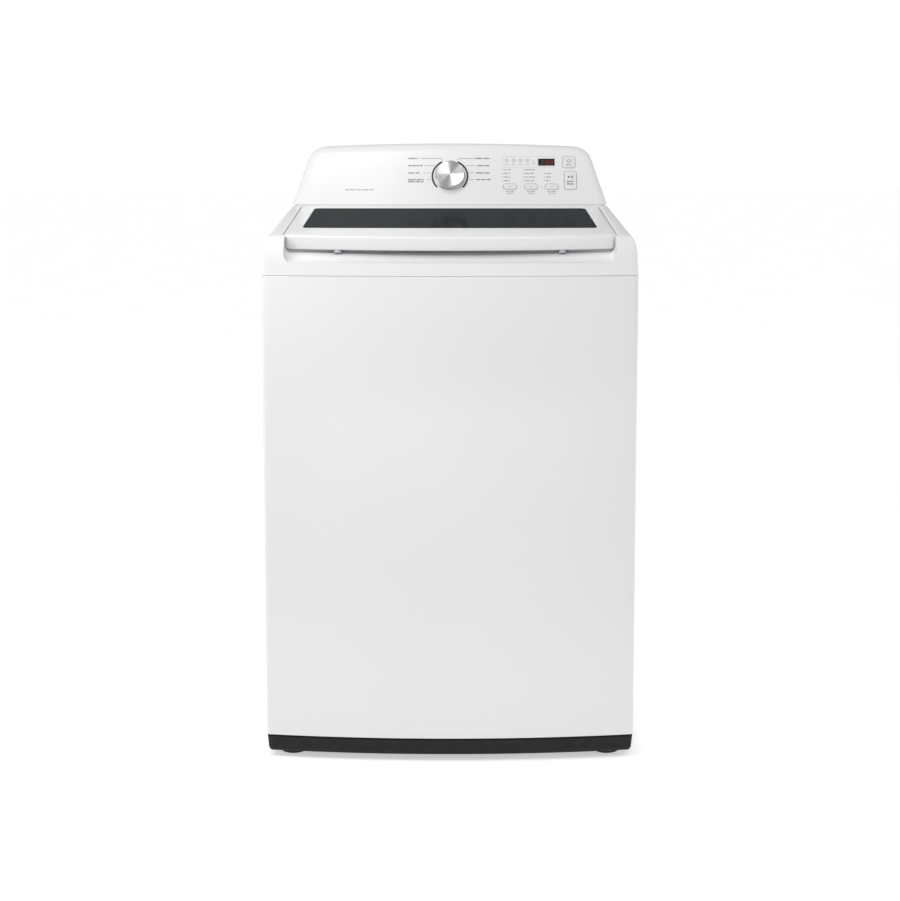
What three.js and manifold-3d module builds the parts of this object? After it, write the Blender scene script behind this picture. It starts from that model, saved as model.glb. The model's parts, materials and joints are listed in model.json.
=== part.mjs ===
// Top load washing machine with a rear console, a glass lid and a direct-drive impeller basket.
// Millimetres, +Z up, the front towards -Y. The origin is on the floor, under the middle of the box.
import * as THREE from "three";
import { mergeVertices } from "three/addons/utils/BufferGeometryUtils.js";
import Module from "manifold-3d";

const wasm = await Module();
wasm.setup();

// Cabinet
const HALF_WIDTH = 343;
const FRONT = -345; // the front's two vertical edges
const BOW = 28; // how far the middle of the front stands proud of those edges
const REAR = 345;
const REAR_MOST = 373; // the ends of the water connections
const EDGE_RADIUS = 10;
const SHEET = 1.2;
const GAP = 0.3; // between pieces that touch
const FOOT_HEIGHT = 12;
const WRAP_BOTTOM = 44;
const SEAM = 904; // the top cover starts here

// Top cover and lid
const SKIN = 3;
const COVER_FRONT_TOP = 973.5;
const CONSOLE_FOOT = 187; // y of the console's lower front edge
const COVER_SLOPE = 0.0645;
const LID = { halfWidth: 306, front: -310, rear: 172, bow: 27, frontRadius: 14, rearRadius: 18 };
const GLASS = { halfWidth: 275, front: -236, rear: 121, bow: 4, frontRadius: 12, rearRadius: 12 };
const GLASS_THICK = 4;
const LID_DEPTH = 25.5; // height of the lid's skirt
const RECESS_DEPTH = 32.3;
const LID_GAP = 3;
const LID_REAR_GAP = 6;
const RECESS_REAR_RADIUS = 14; // tighter than the lid's own, so that the opening lid clears it
const HINGE = { y: 166, z: 1001, pinRadius: 3 };
const SCOOP_HALF = 302;
const OPENING = { halfWidth: 235, front: -285, rear: 130, radius: 90 };
const STRIKE = { x: 271, y: -180, bottom: 925 };

// Console
const CONSOLE_BASE = 1008.3;
const CONSOLE_TOP = 1132;
const CONSOLE_HALF = 326;
const CONSOLE_DRAFT = 0.3265; // the sides close in by this much per millimetre of height
const CONSOLE_CROWN = 6;
const CONSOLE_CORNER = 37;
const CONSOLE_EDGE = 18; // rounding between the face and the sides
const FACE_LEAN = THREE.MathUtils.degToRad(27);

// Basket, tub and drive, all about one upright axis
const TUB_Y = -28;
const TUB_INNER = 292;
const TUB_FLOOR = 215;
const TUB_TOP = 850;
const WALL = 4;
const BASKET_RADIUS = 267;
const BASKET_BOTTOM = 256;
const BASKET_TOP = 795;
const RING_INNER = 226;
const SPIN_SHAFT_RADIUS = 16;
const DRIVE_SHAFT_RADIUS = 8;
const BEARING_RADIUS = 31;
const ROD_SPREAD = 247; // the suspension rods stand this far from the axis along X and along Y
const ROD_RADIUS = 4.5;
const LUG_BOTTOM = 300;
const SUMP = { x: 150, y: 110 };

const BOW_STEPS = 6;
const CORNER_STEPS = 3;
const ROUND_STEPS = 32;

// ---------------------------------------------------------------- materials

function material(color, roughness, metalness = 0) {
  return new THREE.MeshStandardMaterial({ color, roughness, metalness });
}
const enamel = () => material(0xf4f5f5, 0.28);
const whitePlastic = () => material(0xf5f6f7, 0.35);
const buttonPlastic = () => material(0xeceef0, 0.4);
const blackPlastic = () => material(0x2c2d2f, 0.5);
const greyPlastic = () => material(0xb9bcbf, 0.55);
const tubPlastic = () => material(0xdcdcd6, 0.6);
const rubber = () => material(0x1f1f20, 0.85);
const stainless = () => material(0xc9cbcd, 0.3, 1);
const steel = () => material(0x9a9da0, 0.4, 1);
const castAluminium = () => material(0xb0b3b5, 0.5, 1);
const copper = () => material(0xb87045, 0.45, 1);
const boardGreen = () => material(0x2f6b45, 0.6);
const displayBlack = () => material(0x0b0b0c, 0.15);
const galvanised = () => material(0xc4c7c9, 0.45, 0.9);
function tintedGlass() {
  const glass = material(0x303234, 0.08);
  glass.transparent = true;
  glass.opacity = 0.75;
  return glass;
}

// ---------------------------------------------------------------- geometry helpers

// One closed surface: shared corners merged, empty triangles dropped, faces turned outwards.
function closed(geometry) {
  const bare = geometry.clone();
  bare.deleteAttribute("normal");
  bare.deleteAttribute("uv");
  const merged = mergeVertices(bare, 1e-3);
  const index = merged.index.array;
  const position = merged.attributes.position;
  const kept = [];
  const corner = [new THREE.Vector3(), new THREE.Vector3(), new THREE.Vector3()];
  let volume = 0;
  for (let i = 0; i < index.length; i += 3) {
    const [a, b, c] = index.slice(i, i + 3);
    if (a === b || b === c || a === c) continue;
    kept.push(a, b, c);
    [a, b, c].forEach((vertex, k) => corner[k].fromBufferAttribute(position, vertex));
    volume += corner[0].dot(corner[1].cross(corner[2]));
  }
  if (volume < 0) kept.reverse();
  merged.setIndex(kept);
  return merged;
}

function solid(geometry) {
  const merged = closed(geometry);
  return new wasm.Manifold(
    new wasm.Mesh({
      numProp: 3,
      vertProperties: merged.attributes.position.array,
      triVerts: new Uint32Array(merged.index.array),
    }),
  );
}

function geometryOf(manifold) {
  const mesh = manifold.getMesh();
  const geometry = new THREE.BufferGeometry();
  geometry.setAttribute("position", new THREE.BufferAttribute(mesh.vertProperties, 3));
  geometry.setIndex(new THREE.BufferAttribute(mesh.triVerts, 1));
  return geometry;
}

const cut = (body, ...tools) => tools.reduce((rest, tool) => rest.subtract(tool), body);
const join = (...bodies) => bodies.reduce((whole, body) => whole.add(body));

function piece(name, shape, finish) {
  const geometry = shape instanceof wasm.Manifold ? geometryOf(shape) : closed(shape);
  geometry.computeVertexNormals();
  const mesh = new THREE.Mesh(geometry, finish);
  mesh.name = name;
  return mesh;
}

function arc(x, y, radius, from, to, steps) {
  return Array.from({ length: steps + 1 }, (_, i) => {
    const angle = from + ((to - from) * i) / steps;
    return new THREE.Vector2(x + radius * Math.cos(angle), y + radius * Math.sin(angle));
  });
}

// Plan outline with a bowed front and rounded corners. It starts at the middle of the front and runs
// round by the right side, so point i and point n - i mirror each other.
function outline({ halfWidth, front, rear, bow, frontRadius, rearRadius, stops = [] }) {
  const bowRadius = (halfWidth ** 2 + bow ** 2) / (2 * bow);
  const bowCentre = front - bow + bowRadius;
  const cornerX = halfWidth - frontRadius;
  const cornerY = bowCentre - Math.sqrt((bowRadius - frontRadius) ** 2 - cornerX ** 2);
  const meeting = Math.atan2(cornerY - bowCentre, cornerX);
  const half = [
    ...arc(0, bowCentre, bowRadius, -Math.PI / 2, meeting, BOW_STEPS).slice(1),
    ...arc(cornerX, cornerY, frontRadius, meeting, 0, CORNER_STEPS).slice(1),
    ...stops.map((y) => new THREE.Vector2(halfWidth, y)),
    ...arc(halfWidth - rearRadius, rear - rearRadius, rearRadius, 0, Math.PI / 2, CORNER_STEPS),
  ];
  const mirrored = half.map((point) => new THREE.Vector2(-point.x, point.y)).reverse();
  return [new THREE.Vector2(0, front - bow), ...half, new THREE.Vector2(0, rear), ...mirrored];
}

// The same outline, moved inwards all round.
function inset(base, side, front = side, rear = side) {
  return {
    ...base,
    halfWidth: base.halfWidth - side,
    front: base.front + front,
    rear: base.rear - rear,
    frontRadius: Math.max(base.frontRadius - side, 2),
    rearRadius: Math.max(base.rearRadius - side, 2),
  };
}

const CABINET = {
  halfWidth: HALF_WIDTH,
  front: FRONT,
  rear: REAR,
  bow: BOW,
  frontRadius: EDGE_RADIUS,
  rearRadius: 6,
};

// A plan outline lifted to a height, which may depend on y.
function ring(plan, height) {
  const z = typeof height === "function" ? height : () => height;
  return outline(plan).map((point) => new THREE.Vector3(point.x, point.y, z(point.y)));
}

// Two triangles for each pair of mirrored steps, so a cap may slope or bend along its length.
function ladderCap(first, count, facesUp) {
  const triangles = [];
  for (let i = 0; i < count / 2; i++) {
    const right = first + i;
    const nextRight = right + 1;
    const left = first + ((count - i) % count);
    const nextLeft = first + count - i - 1;
    if (facesUp) triangles.push(right, nextRight, nextLeft, right, nextLeft, left);
    else triangles.push(right, nextLeft, nextRight, right, left, nextLeft);
  }
  return triangles;
}

// Skin over a stack of rings: capped at both ends, or joined end to end into a frame.
function loft(rings, isFrame = false) {
  const count = rings[0].length;
  const index = [];
  const bands = isFrame ? rings.length : rings.length - 1;
  for (let band = 0; band < bands; band++) {
    const low = band * count;
    const high = ((band + 1) % rings.length) * count;
    for (let i = 0; i < count; i++) {
      const j = (i + 1) % count;
      index.push(low + i, low + j, high + j, low + i, high + j, high + i);
    }
  }
  if (!isFrame) {
    index.push(...ladderCap(0, count, false));
    index.push(...ladderCap((rings.length - 1) * count, count, true));
  }
  const geometry = new THREE.BufferGeometry().setFromPoints(rings.flat());
  geometry.setIndex(index);
  return geometry;
}

// A plan shape pushed up from one height to another.
function slab(points, low, high) {
  const geometry = new THREE.ExtrudeGeometry(new THREE.Shape(points), {
    depth: high - low,
    bevelEnabled: false,
  });
  return geometry.translate(0, 0, low);
}

// A closed profile of [radius, height] pairs turned about Z.
function turned(profile, steps = ROUND_STEPS) {
  const points = profile.map(([radius, height]) => new THREE.Vector2(radius, height));
  if (profile[0][0] > 0) points.push(points[0].clone());
  return new THREE.LatheGeometry(points, steps).rotateX(Math.PI / 2);
}

const tube = (inner, outer, low, high, steps = ROUND_STEPS) =>
  turned([[inner, low], [outer, low], [outer, high], [inner, high]], steps);

function box(x, y, z) {
  const size = [x[1] - x[0], y[1] - y[0], z[1] - z[0]];
  const middle = [(x[0] + x[1]) / 2, (y[0] + y[1]) / 2, (z[0] + z[1]) / 2];
  return new THREE.BoxGeometry(...size).translate(...middle);
}

const upright = (radius, low, high, x = 0, y = 0, steps = 24) =>
  new THREE.CylinderGeometry(radius, radius, high - low, steps)
    .rotateX(Math.PI / 2)
    .translate(x, y, (low + high) / 2);

const alongX = (radius, from, to, y, z, steps = 20) =>
  new THREE.CylinderGeometry(radius, radius, to - from, steps)
    .rotateZ(Math.PI / 2)
    .translate((from + to) / 2, y, z);

const alongY = (radius, from, to, x, z, steps = 20) =>
  new THREE.CylinderGeometry(radius, radius, to - from, steps).translate(x, (from + to) / 2, z);

function roundedRectangle(halfWidth, front, rear, radius, steps = 5) {
  const x = halfWidth - radius;
  return [
    ...arc(x, front + radius, radius, -Math.PI / 2, 0, steps),
    ...arc(x, rear - radius, radius, 0, Math.PI / 2, steps),
    ...arc(-x, rear - radius, radius, Math.PI / 2, Math.PI, steps),
    ...arc(-x, front + radius, radius, Math.PI, 1.5 * Math.PI, steps),
  ];
}

// ---------------------------------------------------------------- cabinet

// Front and both sides in one bent sheet, with flanges behind and a welded gusset in each corner.
function cabinetWrap() {
  const flange = 22;
  const back = REAR - SHEET - GAP;
  const outer = outline({ ...CABINET, rear: back, rearRadius: 0.5 });
  const inner = outline({ ...inset(CABINET, SHEET), rear: back - SHEET, rearRadius: 0.5 });
  const top = SEAM - GAP;
  const shell = cut(
    solid(slab(outer, WRAP_BOTTOM, top)),
    solid(slab(inner, WRAP_BOTTOM - 1, top + 1)),
    solid(
      box([flange - HALF_WIDTH, HALF_WIDTH - flange], [REAR - 10, REAR + 1], [WRAP_BOTTOM - 1, top + 1]),
    ),
  );
  const gussetZ = [893, 896];
  const filled = solid(slab(outer, ...gussetZ));
  const corners = [-1, 1].flatMap((side) => [
    box([side * 285 - 60, side * 285 + 60], [-360, -240], gussetZ),
    box([side * 285 - 60, side * 285 + 60], [185, back], gussetZ),
  ]);
  const gussets = corners.map((corner) => filled.intersect(solid(corner)));
  const holes = rodPlaces().map(({ x, y }) => solid(upright(ROD_RADIUS + 1.5, 880, 910, x, y, 12)));
  return piece("cabinet_wrap", cut(join(shell, ...gussets), ...holes), enamel());
}

function rearPanel() {
  const plate = solid(box([-340, 340], [REAR - SHEET, REAR], [WRAP_BOTTOM + 2, SEAM - 1]));
  const holes = [
    ...INLETS.map((x) => alongY(13.5, REAR - 5, REAR + 5, x, INLET_Z)),
    alongY(16, REAR - 5, REAR + 5, DRAIN.x, DRAIN.z),
    alongY(10, REAR - 5, REAR + 5, GLAND.x, GLAND.z),
  ];
  return piece("rear_panel", cut(plate, ...holes.map(solid)), galvanised());
}

// Black moulded base: kick wall, lip inside the wrap, and a deck round the motor opening.
function baseFrame() {
  const deck = { low: 50, high: 53 };
  const motorHole = {
    halfWidth: 185,
    front: -235,
    rear: 45,
    bow: 4,
    frontRadius: 40,
    rearRadius: 40,
  };
  const kick = { ...CABINET, rear: REAR - 3 };
  const rings = [
    ring(inset(kick, 12), FOOT_HEIGHT),
    ring(inset(kick, 8), FOOT_HEIGHT),
    ring(inset(kick, 3.5), FOOT_HEIGHT + 7),
    ring(inset(kick, 1.5), WRAP_BOTTOM - 1.5),
    ring(inset(kick, 3), WRAP_BOTTOM - GAP),
    ring(inset(kick, 3), 62),
    ring(inset(kick, 6), 62),
    ring(inset(kick, 6), deck.high),
    ring(motorHole, deck.high),
    ring(motorHole, deck.low),
    ring(inset(kick, 12), deck.low),
  ];
  const frame = solid(loft(rings, true));
  const studHoles = legPlaces().map(({ x, y }) => solid(upright(7, 40, 60, x, y, 12)));
  return piece("base_frame", cut(frame, ...studHoles), blackPlastic());
}

function legPlaces() {
  return [
    { name: "front_left", x: -295, y: -300 },
    { name: "front_right", x: 295, y: -300 },
    { name: "rear_left", x: -295, y: 300 },
    { name: "rear_right", x: 295, y: 300 },
  ];
}

function levelingLeg({ name, x, y }) {
  const profile = [
    [0, 0],
    [22, 0],
    [23, 2],
    [23, 8],
    [14, 12],
    [11, 14],
    [11, 20],
    [6, 20],
    [6, 72],
    [0, 72],
  ];
  const leg = piece(`leveling_leg_${name}`, turned(profile, 12), steel());
  leg.position.set(x, y, 0);
  return leg;
}

// ---------------------------------------------------------------- top cover

const coverTop = (y) => COVER_FRONT_TOP + (Math.min(y, CONSOLE_FOOT) - FRONT) * COVER_SLOPE;

// Share of the height, inset at the sides, inset at the front, extra inset gained towards the rear.
const SHOULDER = [
  [0, 0, 0, 0],
  [0.28, 1.2, 1, 0],
  [0.57, 2.5, 4, 1.5],
  [0.8, 5.5, 10, 3],
  [0.93, 9.5, 18, 5],
  [0.985, 15, 28, 6],
  [1, 24, 40, 6],
];

function coverRings(shrink, start, lower) {
  const stops = [-200, -60, 90, CONSOLE_FOOT];
  return SHOULDER.map(([share, side, front, taper], k) => {
    const plan = { ...inset(CABINET, side + shrink, front + shrink, shrink), stops };
    const base = k === 0 ? start : SEAM;
    const height = (y) => base + (coverTop(y) - lower - base) * share;
    return ring(plan, height).map((point) => {
      const alongSide = THREE.MathUtils.clamp((point.y - FRONT) / (CONSOLE_FOOT - FRONT), 0, 1);
      point.x *= 1 - (taper * alongSide) / HALF_WIDTH;
      return point;
    });
  });
}

// The space for the closed lid, from a sloping floor upwards.
function lidRecess(grow) {
  const plan = {
    ...inset(LID, -LID_GAP - grow, -LID_GAP - grow, -LID_REAR_GAP - grow),
    rearRadius: RECESS_REAR_RADIUS + grow,
  };
  const floor = (y) => coverTop(y) - RECESS_DEPTH - grow;
  return solid(loft([ring(plan, floor), ring(plan, 1080)]));
}

// Finger scoop below the lid's front edge: a rounded slot across the front with a dished floor.
function fingerScoop(grow) {
  const rim = 927 - grow;
  const half = SCOOP_HALF + grow;
  const radius = 14 + grow;
  const back = -306 + grow;
  const across = [
    new THREE.Vector2(-half, 1080),
    ...arc(-half + radius, rim + radius, radius, Math.PI, 1.5 * Math.PI, 3),
    ...arc(half - radius, rim + radius, radius, -Math.PI / 2, 0, 3),
    new THREE.Vector2(half, 1080),
  ];
  const side = [
    new THREE.Vector2(-420, 1080),
    new THREE.Vector2(-420, rim),
    new THREE.Vector2(-366 + grow / 3, rim),
    new THREE.Vector2(-350 + grow / 2, rim + 1.5),
    new THREE.Vector2(-330 + grow / 2, rim + 4),
    new THREE.Vector2(-315 + grow, rim + 10),
    new THREE.Vector2(back, rim + 22),
    new THREE.Vector2(back, 1080),
  ];
  const frontView = slab(across, 0, 130).rotateX(Math.PI / 2).translate(0, -290, 0);
  const sideView = slab(side, -320, 320).applyMatrix4(
    new THREE.Matrix4().makeBasis(
      new THREE.Vector3(0, 1, 0),
      new THREE.Vector3(0, 0, 1),
      new THREE.Vector3(1, 0, 0),
    ),
  );
  return solid(frontView).intersect(solid(sideView));
}

function laundryOpening(grow, low, high) {
  const { halfWidth, front, rear, radius } = OPENING;
  const plan = roundedRectangle(halfWidth + grow, front - grow, rear + grow, radius + grow);
  return solid(slab(plan, low, high));
}

function topCover() {
  const outer = solid(loft(coverRings(0, SEAM, 0)));
  const inside = solid(loft(coverRings(SKIN, SEAM - 2, SKIN)));
  const hollow = cut(inside, lidRecess(SKIN), fingerScoop(SKIN), laundryOpening(SKIN, 900, 1000));
  const slot = STRIKE;
  const holes = [
    box([slot.x - 5, slot.x + 5], [slot.y - 22, slot.y + 17], [930, 970]),
    box([NOZZLE.x - 26, NOZZLE.x + 26], [120, 140], [924.4, 948.6]),
    alongX(HINGE.pinRadius + 0.4, -330, 330, HINGE.y, HINGE.z, 16),
    box([-150, 150], [220, 320], [960, 1020]),
  ];
  const cover = cut(
    outer,
    hollow,
    lidRecess(0),
    fingerScoop(0),
    laundryOpening(0, 900, 1000),
    ...holes.map(solid),
  );
  return piece("top_cover", cover, enamel());
}

// ---------------------------------------------------------------- lid

const lidEdge = (y) => coverTop(y) - 1;
const glassTop = (y) => 983.5 + (y + 240) * 0.0568;

// The side stops of one outline, placed so that they match those of another.
function withStops(plan, shares = [0.3, 0.65]) {
  return { ...plan, stops: shares.map((share) => plan.front + (plan.rear - plan.front) * share) };
}

function lidFrame() {
  const skirtBottom = (y) => lidEdge(y) - LID_DEPTH;
  const seat = withStops(inset(GLASS, -0.6));
  const window = withStops(inset(GLASS, 10));
  const rings = [
    ring(withStops(inset(LID, 3.5)), skirtBottom),
    ring(withStops(inset(LID, 1)), skirtBottom),
    ring(withStops(LID), (y) => lidEdge(y) - 2),
    ring(withStops(inset(LID, 2)), lidEdge),
    ring(seat, (y) => glassTop(y) + 0.2),
    ring(seat, (y) => glassTop(y) - GLASS_THICK - GAP),
    ring(window, (y) => glassTop(y) - GLASS_THICK - GAP),
    ring(window, (y) => glassTop(y) - 8),
    ring(withStops(inset(LID, 3.5)), (y) => lidEdge(y) - 3.5),
  ];
  const ears = [-1, 1].map((side) =>
    solid(box([side * 294 - 7, side * 294 + 7], [157, 170], [990, 1004])),
  );
  const shell = join(solid(loft(rings, true)), ...ears);
  const body = shell.intersect(solid(loft([ring(LID, 930), ring(LID, 1010)])));
  const bore = solid(alongX(HINGE.pinRadius + GAP, -330, 330, HINGE.y, HINGE.z, 16));
  return piece("lid_frame", cut(body, bore), whitePlastic());
}

function lidGlass() {
  const rings = [
    ring(withStops(GLASS), (y) => glassTop(y) - GLASS_THICK),
    ring(withStops(GLASS), glassTop),
  ];
  return piece("lid_glass", loft(rings), tintedGlass());
}

// Inner panel of the lid: a flat tray with an upstand that holds the glass from below.
function lidInnerFrame() {
  const edge = withStops(inset(LID, 4.2));
  const upstand = withStops(inset(GLASS, 12));
  const window = withStops(inset(GLASS, 15));
  const bottom = (y) => lidEdge(y) - LID_DEPTH + 1;
  const rings = [
    ring(edge, bottom),
    ring(edge, (y) => bottom(y) + 3),
    ring(upstand, (y) => bottom(y) + 3),
    ring(upstand, (y) => glassTop(y) - 8.5),
    ring(window, (y) => glassTop(y) - 8.5),
    ring(window, bottom),
  ];
  return piece("lid_inner_frame", loft(rings, true), greyPlastic());
}

function hingePin(name, side) {
  const ends = [side * 290, side * 318].sort((a, b) => a - b);
  return piece(name, alongX(HINGE.pinRadius, ...ends, HINGE.y, HINGE.z, 16), steel());
}

function lidStrike() {
  const { x, y, bottom } = STRIKE;
  const plate = box([x - 1.5, x + 1.5], [y - 10, y + 10], [bottom, lidEdge(y) - LID_DEPTH]);
  const eye = alongX(4.5, x - 5, x + 5, y, bottom + 9, 16);
  return piece("lid_strike", cut(solid(plate), solid(eye)), steel());
}

function lidLockHousing() {
  const { x, y, bottom } = STRIKE;
  const floor = coverTop(y - 30) - RECESS_DEPTH - SKIN;
  const body = box([x - 12, x + 26], [y - 28, y + 24], [bottom - 12, floor - 1]);
  const slot = box([x - 4, x + 4], [y - 22, y + 17], [bottom - 4, floor + 5]);
  const channel = alongX(4.3, x, x + 40, y, bottom + 9, 16);
  return piece("lid_lock_housing", cut(solid(body), solid(slot), solid(channel)), greyPlastic());
}

function lockBolt() {
  const { x, y, bottom } = STRIKE;
  return piece("lock_bolt", alongX(3.5, x + 4, x + 20, y, bottom + 9, 16), steel());
}

// ---------------------------------------------------------------- console

// Front outline of the console in x and z, moved in by a margin; it starts at the middle of the base.
function consoleOutline(margin) {
  const lean = Math.atan(CONSOLE_DRAFT);
  const up = new THREE.Vector2(-Math.sin(lean), Math.cos(lean));
  const inward = new THREE.Vector2(-Math.cos(lean), -Math.sin(lean));
  const foot = new THREE.Vector2(CONSOLE_HALF, CONSOLE_BASE);
  const corner = CONSOLE_CORNER - margin;
  const crownHalf = 262;
  const crownRadius = (crownHalf ** 2 + CONSOLE_CROWN ** 2) / (2 * CONSOLE_CROWN);
  const crownCentre = new THREE.Vector2(0, CONSOLE_TOP - crownRadius);
  // The corner's centre lies on a line inside the slanted side and inside the crown's circle.
  const start = foot.clone().addScaledVector(inward, CONSOLE_CORNER);
  const toStart = start.clone().sub(crownCentre);
  const along = toStart.dot(up);
  const reach = crownRadius - CONSOLE_CORNER;
  const travel = -along + Math.sqrt(along ** 2 - toStart.lengthSq() + reach ** 2);
  const centre = start.clone().addScaledVector(up, travel);
  const crownAngle = Math.atan2(centre.y - crownCentre.y, centre.x);
  const baseX = CONSOLE_HALF - margin / Math.cos(lean);
  const sideEnd = centre.clone().addScaledVector(inward, -corner);
  const base = new THREE.Vector2(baseX, CONSOLE_BASE);
  const half = [
    base,
    base.clone().lerp(sideEnd, 0.5),
    ...arc(centre.x, centre.y, corner, lean, crownAngle, 4),
    ...arc(0, crownCentre.y, crownRadius - margin, crownAngle, Math.PI / 2, 4).slice(1, -1),
  ];
  const mirrored = half.map((point) => new THREE.Vector2(-point.x, point.y)).reverse();
  return [
    new THREE.Vector2(0, CONSOLE_BASE),
    ...half,
    new THREE.Vector2(0, CONSOLE_TOP - margin),
    ...mirrored,
  ];
}

const faceY = (z) => CONSOLE_FOOT + (z - CONSOLE_BASE) * Math.tan(FACE_LEAN);

// The console as one solid: leaning face, rounded edge, then straight back to the rear.
function consoleSolid(margin, base, rear) {
  const turns = [0, 30, 60, 90].map(THREE.MathUtils.degToRad);
  const edge = CONSOLE_EDGE;
  const drop = (point) => (point.y <= CONSOLE_BASE ? base : point.y);
  const rings = turns.map((turn) =>
    consoleOutline(edge * (1 - Math.sin(turn)) + margin).map((point) => {
      const depth = edge * (1 - Math.cos(turn)) + margin / Math.cos(FACE_LEAN);
      return new THREE.Vector3(point.x, faceY(drop(point)) + depth, drop(point));
    }),
  );
  rings.push(consoleOutline(margin).map((point) => new THREE.Vector3(point.x, rear, drop(point))));
  return solid(loft(rings));
}

// x, height along the face, width and height of each push button.
const BUTTONS = [
  { name: "button_power", x: 248, up: 97, width: 25.5, height: 25.5, radius: 5 },
  { name: "button_start_pause", x: 250.5, up: 55.5, width: 25, height: 41, radius: 5 },
  { name: "button_option_left", x: 125, up: 41, width: 27, height: 12, radius: 4 },
  { name: "button_option_middle", x: 168.5, up: 41, width: 27, height: 12, radius: 4 },
  { name: "button_option_right", x: 211.5, up: 41, width: 26, height: 12, radius: 4 },
];
const DISPLAY = { x: 201, up: 97.2, width: 34, height: 15.5, radius: 1.5 };
const KNOB = { up: 64.8, radius: 30.5, height: 13.5, shaft: 4 };

function facePrism({ x, up, width, height, radius }, grow, low, high) {
  const plan = roundedRectangle(
    width / 2 + grow,
    -height / 2 - grow,
    height / 2 + grow,
    radius + grow,
    2,
  );
  return slab(plan, low, high).translate(x, up, 0);
}

// The console face's own frame: x across, y up along the face, z out of it.
function placeOnFace(object) {
  object.rotation.x = Math.PI / 2 - FACE_LEAN;
  object.position.set(0, CONSOLE_FOOT, CONSOLE_BASE);
  object.updateMatrixWorld(true);
  return object;
}

function consoleHousing() {
  const toFace = placeOnFace(new THREE.Object3D()).matrixWorld;
  const onFace = (geometry) => solid(geometry.applyMatrix4(toFace));
  const windows = [...BUTTONS, DISPLAY].map((shape) => onFace(facePrism(shape, 0.5, -12, 12)));
  const shaftHole = onFace(upright(KNOB.shaft + 1.5, -12, 12, 0, KNOB.up));
  const shell = cut(
    consoleSolid(0, CONSOLE_BASE, REAR),
    consoleSolid(SKIN, CONSOLE_BASE - 5, REAR + 5),
    ...windows,
    shaftHole,
  );
  return piece("console_housing", shell, whitePlastic());
}

function consoleRearCover() {
  const plate = consoleOutline(SKIN + 2).map(
    (point) => new THREE.Vector2(point.x, Math.max(point.y, CONSOLE_BASE + 0.5)),
  );
  const geometry = slab(plate, 0, 2).rotateX(Math.PI / 2).translate(0, REAR - 0.5, 0);
  const cover = piece("console_rear_cover", geometry, galvanised());
  return cover;
}

function pushButton(button) {
  return piece(button.name, facePrism(button, 0, -7, 0.9), buttonPlastic());
}

function displayWindow() {
  return piece("display_window", facePrism(DISPLAY, 0, -3, 0.2), displayBlack());
}

function cycleKnob() {
  const { radius, height, shaft } = KNOB;
  const profile = [
    [0, -15],
    [shaft, -15],
    [shaft, 0.8],
    [radius + 1, 0.8],
    [radius + 1, 3.5],
    [radius - 0.2, 5],
    [radius - 1, height - 3],
    [radius - 3, height],
    [0, height],
  ];
  const knob = piece("cycle_knob", turned(profile, 28), stainless());
  knob.position.y = KNOB.up;
  return knob;
}

function dialEncoder() {
  const body = box([-16, 16], [-16, 16], [-17.5, -4]);
  const bore = upright(KNOB.shaft + GAP, -20, 0, 0, 0, 20);
  const encoder = piece("dial_encoder", cut(solid(body), solid(bore)), greyPlastic());
  encoder.position.y = KNOB.up;
  return encoder;
}

function controlBoard() {
  return piece("control_board", box([-60, 272], [28, 112], [-20, -18.4]), boardGreen());
}

function faceGroup() {
  const group = placeOnFace(new THREE.Group());
  group.add(cycleKnob(), dialEncoder(), controlBoard(), displayWindow());
  BUTTONS.forEach((button) => group.add(pushButton(button)));
  return group;
}

// ---------------------------------------------------------------- water

const INLETS = [-150, -100];
const INLET_Z = 860;
const DRAIN = { x: 305, z: 832 };
const GLAND = { x: -280, z: 866 };
const NOZZLE = { x: -125 };

function inletValve() {
  const body = solid(box([-172, -78], [306, 342], [846, 874]));
  const stubs = INLETS.map((x) => solid(alongY(12, 338, REAR_MOST - 3, x, INLET_Z)));
  const bores = INLETS.map((x) => solid(alongY(9, 350, REAR_MOST, x, INLET_Z)));
  return piece("inlet_valve", cut(join(body, ...stubs), ...bores), whitePlastic());
}

function hose(name, points, radius, steps) {
  const path = new THREE.CatmullRomCurve3(points.map((point) => new THREE.Vector3(...point)));
  const section = new THREE.Shape(arc(0, 0, radius, 0, 2 * Math.PI, 10).slice(0, -1));
  const geometry = new THREE.ExtrudeGeometry(section, { extrudePath: path, steps });
  return piece(name, geometry, rubber());
}

const fillHose = () =>
  hose("fill_hose", [
    [NOZZLE.x, 324, 875],
    [NOZZLE.x, 322, 905],
    [NOZZLE.x, 300, 932],
    [NOZZLE.x, 240, 937],
    [NOZZLE.x, 159, 937],
  ], 8, 14);

function fillNozzle() {
  const body = box([NOZZLE.x - 25, NOZZLE.x + 25], [122, 158], [925, 948]);
  const mouth = box([NOZZLE.x - 21, NOZZLE.x + 21], [110, 148], [922, 942]);
  return piece("fill_nozzle", cut(solid(body), solid(mouth)), whitePlastic());
}

// Round pump on the base deck: its inlet points up at the tub's sump, its outlet to the right.
function drainPump() {
  const { x, y } = SUMP;
  const body = solid(upright(38, 53.5, 120, x, y));
  const inlet = solid(upright(19.5, 115, 165, x, y));
  const outlet = solid(alongX(13, x + 30, x + 64, y, 92));
  const bores = [upright(16, 80, 170, x, y), alongX(10, x, x + 70, y, 92)].map(solid);
  return piece("drain_pump", cut(join(body, inlet, outlet), ...bores), blackPlastic());
}

const drainHose = () =>
  hose("drain_hose", [
    [SUMP.x + 65, SUMP.y, 92],
    [240, SUMP.y, 92],
    [290, 140, 110],
    [DRAIN.x, 200, 160],
    [DRAIN.x, 270, 240],
    [DRAIN.x, 300, 400],
    [DRAIN.x, 303, 640],
    [DRAIN.x, 303, 812],
  ], 13, 28);

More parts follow.
